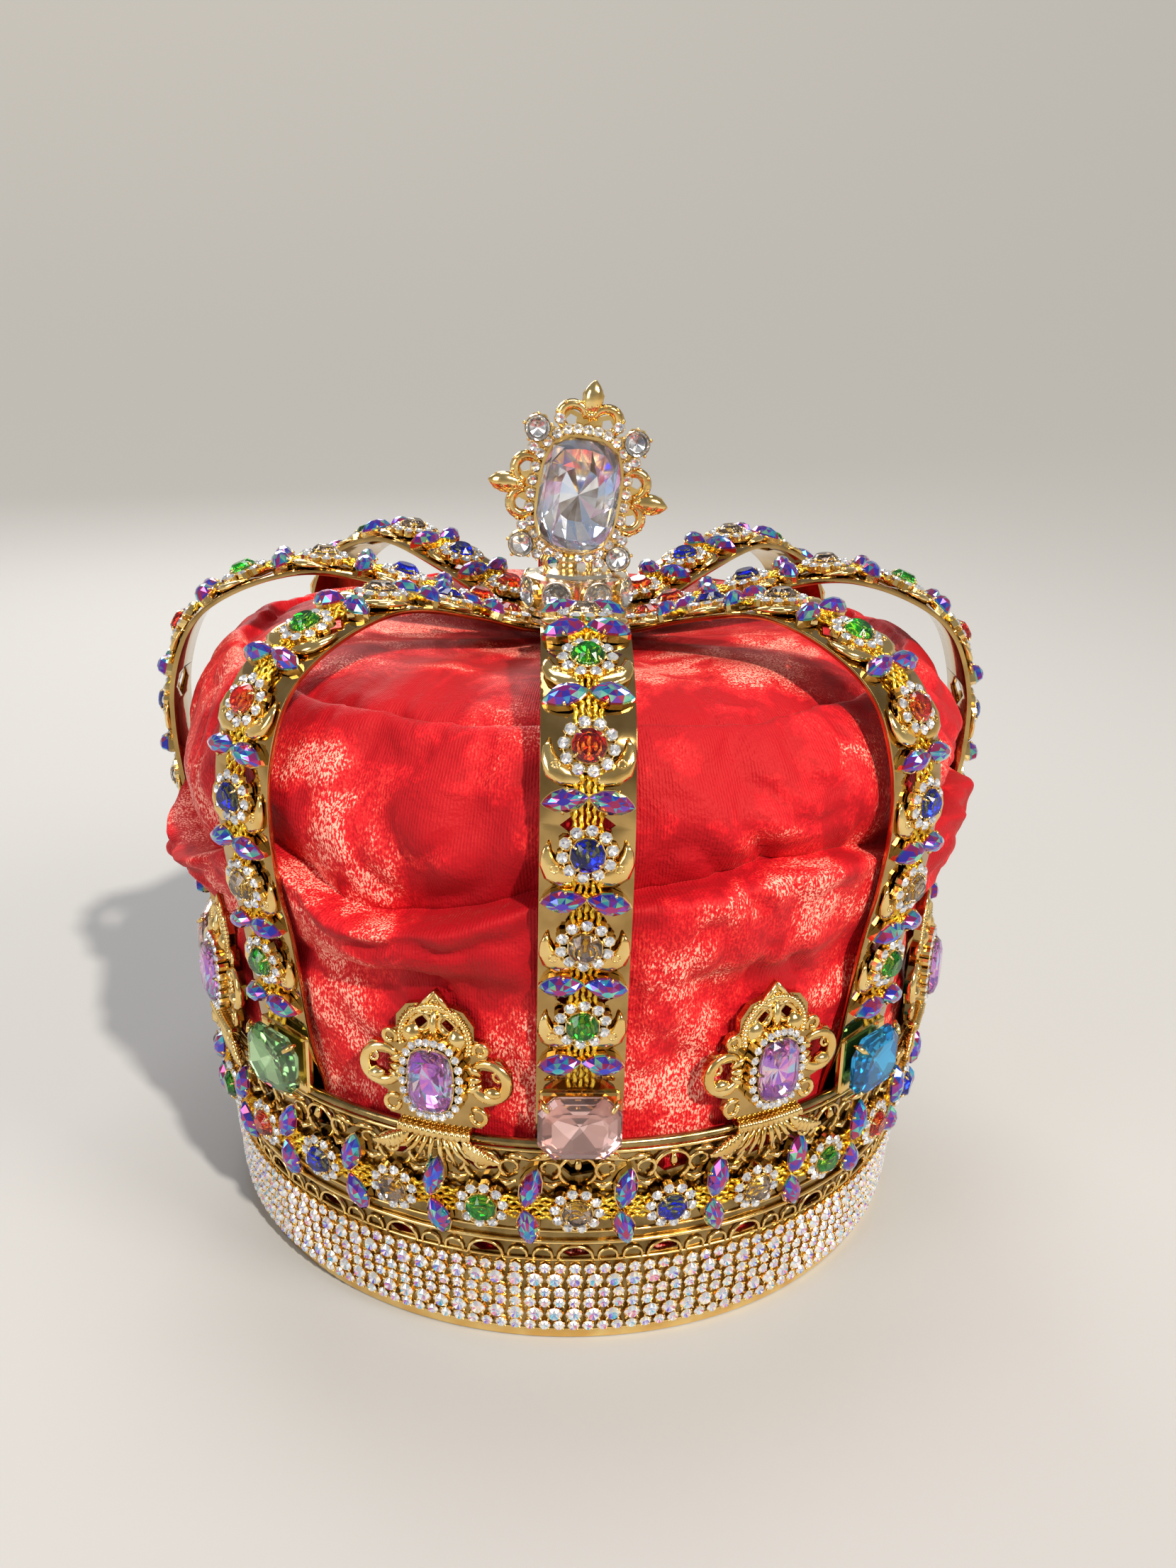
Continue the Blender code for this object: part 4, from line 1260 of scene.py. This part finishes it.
def badge_mesh():
    """One badge: scrolls, a ribbed arch with a peak, a framed stone, a ribbed bar and a fan."""
    half = badge_scrolls() + badge_fan()
    ribbed = wire(arc_points((0.0, 0.0226), 0.0080, -14, 194, 124), 0.0021, 0,
                  swell=lambda share: 1.0 + 0.17 * cos(tau * 31 * share))
    nose = wire([(0.0, 0.0228, 0.0004), (0.0, 0.0262, 0.0008), (0.0, 0.0300, 0.0002)], 0.0020,
                swell=thinner(1.2, 0.5))
    bar = ribbed_bar(0.0168, 0.0027, 12, -0.0004)
    bar.data.transform(shifted(0.0, 0.0004, 0.0008))
    cap_ring = wire(arc_points((0.0, 0.0312), 0.0010, 0, 342, 10), 0.0006, 0)
    low_ring = wire(arc_points((0.0, -0.0014), 0.0011, 0, 342, 10), 0.0006, 0)
    parts = half + mirrored(half) + [ribbed, nose, bar, cap_ring, low_ring]
    for part in parts:
        finish_with(part, gold)
    bezel = cushion_cup(0.0055, 0.0079, 0.0028, 0.0025)
    bezel.data.transform(shifted(0.0, BADGE_STONE_RISE, 0.0))
    chip = set_rhinestone(0.00100, 0.0024, (clear_facets, clear_facets), 2)
    frame_stones = ring_of_stones(chip, 0.0066, 0.0090, 24)
    for stone in frame_stones:
        stone.data.transform(shifted(0.0, BADGE_STONE_RISE, 0.0002))
    grip = claw(0.0026, 0.0010)
    claws = []
    places = ((0.0050, 0.0, 0.0), (-0.0050, 0.0, pi), (0.0, 0.0074, pi / 2), (0.0, -0.0074, -pi / 2))
    for x, y, turn in places:
        seat = shifted(x, BADGE_STONE_RISE + y, 0.0030, turn) @ turned(0.6, "Y")
        claws.append(copy_to(grip, seat))
    discard(chip, grip)
    return joined(parts + [bezel] + frame_stones + claws)


def make_badges():
    badge = badge_mesh()
    stone = cushion_stone(
        *BADGE_STONE, girdle=0.0006, crown=0.0018, table=0.60, depth=0.0022, finishes=badge_stone_finishes)
    radius, height = BADGE_BASE
    for index, azimuth in enumerate(BADGE_AZIMUTHS):
        seat = on_side(azimuth, radius, height)
        front = seat @ shifted(0.0, 0.0, BADGE_THICKNESS / 2)
        settle(joined([copy_to(badge, front)], f"filigree_relief_{index + 1}"), "gold")
        rise = shifted(0.0, BADGE_STONE_RISE, BADGE_THICKNESS / 2 + 0.0005)
        crystal = copy_to(stone, seat @ rise, draw.random())
        settle(joined([crystal], f"badge_crystal_{index + 1}"), "aurora_crystal", f"badge_stone_{index + 1}")
    discard(badge, stone)


def fleur(leaf_length):
    """A leaf between two curls, growing to +Y from its root."""
    leaf = almond_leaf(leaf_length, 0.0054, 0.0038)
    bead = almond_leaf(0.0024, 0.0024, 0.0024)
    bead.data.transform(shifted(0.0, 0.0006, 0.0012))
    curls = [
        flattened(wire(arc_points((0.0044, 0.0006), (0.0036, 0.0027), 176, -80, 16), 0.0023,
                       swell=bulge(0.8, 0.4)), 0.8),
    ]
    for turn in (150, 105, 60, 15):
        bead_at = arc_points((0.0044, 0.0006), 0.0040, turn, turn, 2)[0]
        pip = claw(0.0013, 0.0013)
        pip.data.transform(shifted(bead_at[0], bead_at[1], 0.0006))
        curls.append(pip)
    parts = [leaf, bead] + curls + mirrored(curls)
    for part in parts:
        finish_with(part, gold)
    return joined(parts)


def make_cross():
    """The cross ornament: a big crystal in rhinestones, four corner crystals and three fleurs."""
    seat = on_side(0.0, 0.0, CROSS_CENTRE) @ turned(-CROSS_ROLL)
    front = shifted(0.0, 0.0, CROSS_THICKNESS / 2)
    parts = [cushion_cup(0.0107, 0.0147, 0.0034, 0.0030)]
    chip = set_rhinestone(0.00142, 0.0016, (clear_facets, clear_facets), 2)
    parts += ring_of_stones(chip, 0.0118, 0.0158, 30)
    for side in (1, -1):
        for x, y in CROSS_CHIPS:
            parts.append(copy_to(chip, shifted(side * x, y, 0.0), draw.random()))
    for x, y, turn, length in CROSS_LEAVES:
        ornament = fleur(length)
        ornament.data.transform(shifted(x, y, 0.0, turn))
        parts.append(ornament)
    foot = [wire(arc_points((0.0036, -0.0178), (0.0030, 0.0018), -170, 80, 14), 0.0016)]
    foot += mirrored(foot)
    foot.append(wire([(0.0, -0.0150, 0.0), (0.0, -0.0196, 0.0)], 0.0052))
    parts += [finish_with(part, gold) for part in foot]
    pip = claw(0.0011, 0.0011)
    for x, y in CORNERS:
        middle = shifted(x * CORNER_STONE[0], y * CORNER_STONE[1], 0.0)
        holder = cup(CORNER_STONE_RADIUS * 1.05, 0.0018, 16, 0.0016)
        parts.append(copy_to(holder, middle))
        discard(holder)
        for index in range(5):
            turn = tau * index / 5 + 0.4
            at = (CORNER_STONE_RADIUS * cos(turn) * 1.08, CORNER_STONE_RADIUS * sin(turn) * 1.08, 0.0018)
            parts.append(copy_to(pip, middle @ Matrix.Translation(at)))
    discard(chip, pip)
    relief = joined(parts, "cross_relief")
    relief.data.transform(seat @ front)
    settle(relief, "gold")
    crystal = cushion_stone(
        *CROSS_STONE, girdle=0.0008, crown=0.0024, table=0.62, depth=0.0030, finishes=crystal_finishes)
    crystal.data.transform(seat @ front @ shifted(0.0, 0.0, 0.0005))
    settle(joined([crystal], "cross_crystal"), "clear_crystal", "cross_stone")
    corners = ((1, 1), (-1, 1), (1, -1), (-1, -1))
    for index, (x, y) in enumerate(corners):
        stone = round_stone(
            CORNER_STONE_RADIUS, girdle=0.0005, crown=0.0011, table=0.60, depth=0.0014, sides=16,
            finishes=stone_finishes["clear"])
        stone.data.transform(seat @ front @ shifted(x * CORNER_STONE[0], y * CORNER_STONE[1], 0.0021))
        name = f"cross_corner_{index + 1}"
        settle(joined([stone], name), "clear_crystal", f"cross_corner_stone_{index + 1}")


def make_monde():
    """The drum under the cross: eight round crystals in bezels between two turned mouldings."""
    drum = new_mesh(
        bpy.ops.mesh.primitive_cylinder_add, vertices=32, radius=DRUM_RADIUS, depth=0.0010,
        location=(0.0, 0.0, HUB_TOP + 0.0008))
    rows = (
        (0.0, 0.92), (0.0076, 1.0), (0.0, 1.07), (0.0009, 1.0),
        (0.0004, 0.80), (0.0008, 0.94), (0.0005, 0.55))
    open_faces(drum, facing_up)
    for rise, across in rows:
        facet_row(rise, across)
    close_edit()
    select_only(drum)
    bpy.ops.object.shade_smooth_by_angle(angle=radians(35))
    parts = [finish_with(drum, champagne)]
    middle = (HUB_TOP + DRUM_TOP) / 2 + 0.0016
    holder = cup(DRUM_STONE_RADIUS, 0.0022, 20, 0.0019)
    stone = round_stone(
        DRUM_STONE_RADIUS * 0.9, girdle=0.0005, crown=0.0009, table=0.66, depth=0.0014, sides=16,
        finishes=stone_finishes["clear"])
    lip = wire(arc_points((0.0, 0.0), DRUM_STONE_RADIUS * 0.95, 0, 349.2, 24), 0.0007, 1)
    finish_with(lip, champagne)
    for index in range(ARCH_COUNT):
        seat = on_side(tau * (index + 0.5) / ARCH_COUNT, DRUM_RADIUS * 0.86, middle)
        parts.append(copy_to(holder, seat))
        parts.append(copy_to(lip, seat @ shifted(0.0, 0.0, 0.0022)))
        parts.append(copy_to(stone, seat @ shifted(0.0, 0.0, 0.0024), draw.random()))
    discard(holder, stone, lip)
    settle(joined(parts, "monde_setting"), "gold", "monde_drum")


# The arches' strips, the rings and what is soldered to them
def make_arch_bands():
    """The arches' strips, cut flat along +Y with pointed windows and then bent to their curve."""
    band = new_mesh(bpy.ops.mesh.primitive_grid_add, x_subdivisions=1, y_subdivisions=150, size=1.0)
    for vert in band.data.vertices:
        along = (vert.co.y + 0.5) * arch_length
        vert.co = Vector((vert.co.x * 2 * arch_half_width(arch_frame(along)[0]), along, 0.0))
    apply_modifier(band, "SOLIDIFY", thickness=ARCH_THICKNESS, offset=-1.0)
    for place in WINDOW_PLACES:
        punch = new_mesh(
            bpy.ops.mesh.primitive_cylinder_add, vertices=4, radius=1.0, depth=0.01,
            location=(0.0, place + ARCH_FOOT_LENGTH, 0.0), scale=(WINDOW[0] / 2, WINDOW[1] / 2, 1.0))
        apply_modifier(band, "BOOLEAN", operation="DIFFERENCE", object=punch)
        discard(punch)
    apply_modifier(band, "BEVEL", width=0.00025, segments=2, limit_method="ANGLE", angle_limit=radians(50))
    for vert in band.data.vertices:
        vert.co = on_arch(0.0, vert.co.y, vert.co.z) @ Vector((vert.co.x, 0.0, 0.0))
    bpy.ops.object.shade_smooth_by_angle(angle=radians(30))
    finish_with(band, strip)
    for index, name in enumerate(ARCH_NAMES):
        turn = turned(tau * index / ARCH_COUNT)
        settle(joined([copy_to(band, turn)], f"arch_strip_{index + 1}"), "gold", name)
    discard(band)


def make_rings():
    """The rail's round wire and the smooth foot ring under the rhinestones."""
    rail = ring_wire(RAIL_RADIUS, RAIL_HEIGHT, 2 * RAIL_WIRE, 12)
    settle(joined([finish_with(rail, antique)], "rail_wire"), "dark_gold", "top_rail")
    foot = round_wall("foot_ring", 0.0, RIM_HEIGHT, -RIM_WIDTH, 0.0, 160)
    apply_modifier(foot, "BEVEL", width=0.0004, segments=2, limit_method="ANGLE", angle_limit=radians(50))
    bpy.ops.object.shade_smooth_by_angle(angle=radians(30))
    settle(finish_with(foot, gold), "gold", "base_rim")


def make_arch_leaves():
    """Pairs of pressed leaves that cross each arch behind its stones."""
    points = (
        (0.0008, -0.0056, 0.0), (0.0028, -0.0057, 0.0006), (0.0050, -0.0052, 0.0012),
        (0.0068, -0.0040, 0.0016), (0.0078, -0.0022, 0.0018), (0.0081, 0.0, 0.0016), (0.0077, 0.0020, 0.0010))

    def swell(share):
        return (0.50 + 0.55 * sin(pi * share ** 0.8)) * (1.0 - 0.80 * share ** 3)

    leaf = flattened(wire(points, 0.0050, 2, swell=swell), 0.42)
    eyelet = wire(arc_points((0.0064, -0.0034), 0.0008, 0, 345.6, 10), 0.0005)
    eyelet.data.transform(shifted(0.0, 0.0, 0.0015))
    half = [finish_with(leaf, gold), finish_with(eyelet, gold)]
    unit = joined(half + mirrored(half))
    first = FIRST_PAIR + ARCH_FOOT_LENGTH + ARCH_CHAIN_PITCH / 2
    parts = []
    for arch in range(ARCH_COUNT):
        for index in range(ARCH_CHAIN_PAIRS):
            along = first + ARCH_CHAIN_PITCH * index
            radius = arch_frame(along)[0]
            narrow = 1.0 if radius > 0.06 else 0.74 + 0.26 * radius / 0.06
            seat = on_arch(tau * arch / ARCH_COUNT, along, 0.0002)
            parts.append(copy_to(unit, seat @ Matrix.Diagonal((narrow, 1.0, 1.0, 1.0))))
    discard(unit)
    settle(joined(parts, "arch_leaves"), "gold")


def make_foot_settings():
    """Gold cushions behind the foot stones, with a claw over each cut corner."""
    width, height, corner = FOOT_STONE
    block = joined([new_mesh(
        bpy.ops.mesh.primitive_cube_add, size=1.0, scale=(width * 0.97, height * 0.97, 0.0024))])
    apply_modifier(block, "BEVEL", width=0.0009, segments=2)
    finish_with(block, gold)
    grip = claw(0.0046, 0.0015)
    parts = []
    for index in range(ARCH_COUNT):
        seat = on_side(tau * index / ARCH_COUNT, FOOT_STONE_BACK, FOOT_STONE_HEIGHT)
        parts.append(copy_to(block, seat @ shifted(0.0, 0.0, -0.0008)))
        for x, y in CORNERS:
            turn = turned(pi / 4 if x * y > 0 else -pi / 4)
            lean = turned(0.75 * x, "Y")
            at = shifted(x * (width / 2 - corner * 0.40), y * (height / 2 - corner * 0.40), 0.0041)
            parts.append(copy_to(grip, seat @ at @ turn @ lean))
    discard(block, grip)
    settle(joined(parts, "foot_settings"), "gold")


# The floor, the lights and the camera
CAMERA_PLACE = (-0.0112, -0.3629, 0.2342)
CAMERA_YAW, CAMERA_PITCH, CAMERA_ROLL = radians(-2.44), radians(-19.28), radians(-1.36)
CAMERA_LENS = 32.55
SENSOR_WIDTH = 36.0
SWEEP_RADIUS = 6.0
SWEEP_FLAT = 0.8
SWEEP_HEIGHT = 2.0
SWEEP_ROWS = 24
SUN_SIDE = (0.40, -0.74, 0.74)
SUN_ANGLE = radians(2.5)
SUN_POWER = 3.9
WORLD_LIGHT = 0.33
BOX_TARGET = (0.0, 0.0, 0.09)
# Soft boxes: name, place, size, power, tint
BOXES = (
    ("key_box", (0.75, -0.65, 0.85), (0.35, 0.35), 7.0, "#FFF8F0"),
    ("fill_box", (-0.85, -0.75, 0.6), (0.5, 0.7), 5.0, "#F4F6FF"),
    ("top_box", (0.0, 0.2, 1.2), (0.6, 0.4), 5.0, "#FFFFFF"),
    ("back_box", (-0.3, 0.9, 0.6), (0.6, 0.3), 4.0, "#FFFFFF"),
)


def make_camera():
    turn = turned(CAMERA_YAW) @ turned(CAMERA_PITCH, "X")
    data = bpy.data.cameras.new("camera")
    data.lens = CAMERA_LENS
    data.sensor_width = SENSOR_WIDTH
    data.clip_start = 0.01
    camera = bpy.data.objects.new("camera", data)
    bpy.context.scene.collection.objects.link(camera)
    level = turned(CAMERA_ROLL, "Y") @ turned(pi / 2, "X")
    camera.matrix_world = Matrix.Translation(CAMERA_PLACE) @ turn @ level
    bpy.context.scene.camera = camera


def make_lamp(name, kind, aim, power, tint):
    """A light that shines along aim."""
    data = bpy.data.lights.new(name, kind)
    data.energy = power
    data.color = linear(tint)[:3]
    lamp = bpy.data.objects.new(name, data)
    bpy.context.scene.collection.objects.link(lamp)
    lamp.rotation_euler = aim.to_track_quat("-Z", "Y").to_euler()
    return lamp


def make_lights():
    """A soft sun from the front right, and boxes that fill and that the metal mirrors."""
    sun = make_lamp("soft_sun", "SUN", -Vector(SUN_SIDE), SUN_POWER, "#FFF8EC")
    sun.data.angle = SUN_ANGLE
    for name, place, size, power, tint in BOXES:
        box = make_lamp(name, "AREA", Vector(BOX_TARGET) - Vector(place), power, tint)
        box.location = place
        box.data.shape = "RECTANGLE"
        box.data.size, box.data.size_y = size
    world = bpy.data.worlds.new("studio")
    world.use_nodes = True
    sky = world.node_tree.nodes["Background"].inputs
    sky["Color"].default_value = linear("#E4E4E8")
    sky["Strength"].default_value = WORLD_LIGHT
    bpy.context.scene.world = world
    bpy.context.scene.view_settings.view_transform = "Standard"


def sweep_rise(reach):
    """Height of the paper at a distance from the crown: flat in the middle, then ever steeper."""
    return SWEEP_HEIGHT * ((reach - SWEEP_FLAT) / (SWEEP_RADIUS - SWEEP_FLAT)) ** 2


def make_floor():
    """A pale paper dish, drawn down from its edge; the disc that it starts from is taken out."""
    sweep = new_mesh(
        bpy.ops.mesh.primitive_circle_add, vertices=96, radius=SWEEP_RADIUS, fill_type="NGON",
        location=(0.0, 0.0, SWEEP_HEIGHT - 0.0002))
    sweep.name = "paper_sweep"
    open_faces(sweep, facing_up)
    step = (SWEEP_RADIUS - SWEEP_FLAT) / SWEEP_ROWS
    for index in range(SWEEP_ROWS):
        outer = SWEEP_RADIUS - step * index
        inner = outer - step
        facet_row(sweep_rise(inner) - sweep_rise(outer), inner / outer)
    close_edit()
    open_faces(sweep, lambda face: face.center.z > -0.001)
    bpy.ops.mesh.delete(type="FACE")
    close_edit()
    bpy.ops.object.shade_smooth_by_angle(angle=radians(40))
    paper = new_material("matt_white_paper", {"Roughness": 0.85, "Base Color": linear("#A9A8A6")})[0]
    finish_with(sweep, paper)


def finish_solids():
    """Give the carried-over solids their finishes."""
    for name, node in nodes.items():
        # The badges' plates take the browner brass as painted shade behind their gold relief
        metal = strip if name.startswith("badge_") else gold
        finish_with(node, antique if name == "circlet" else metal)


make_camera()
make_lights()
make_floor()
finish_solids()
make_velvet_cap()
make_rings()
make_arch_bands()
make_rhinestone_band()
make_circlet_trim()
clusters = {colour: cluster(colour) for colour in ("smoky", "green", "blue", "red")}
arch_pair = navette_pair(*ARCH_PAIR)
ring_pair = navette_pair(*RING_PAIR)
make_ring_chain(clusters, ring_pair)
make_arch_chains(clusters, arch_pair)
discard(*clusters.values(), arch_pair, ring_pair)
make_foot_stones()
make_foot_settings()
make_arch_leaves()
make_badges()
make_cross()
make_monde()
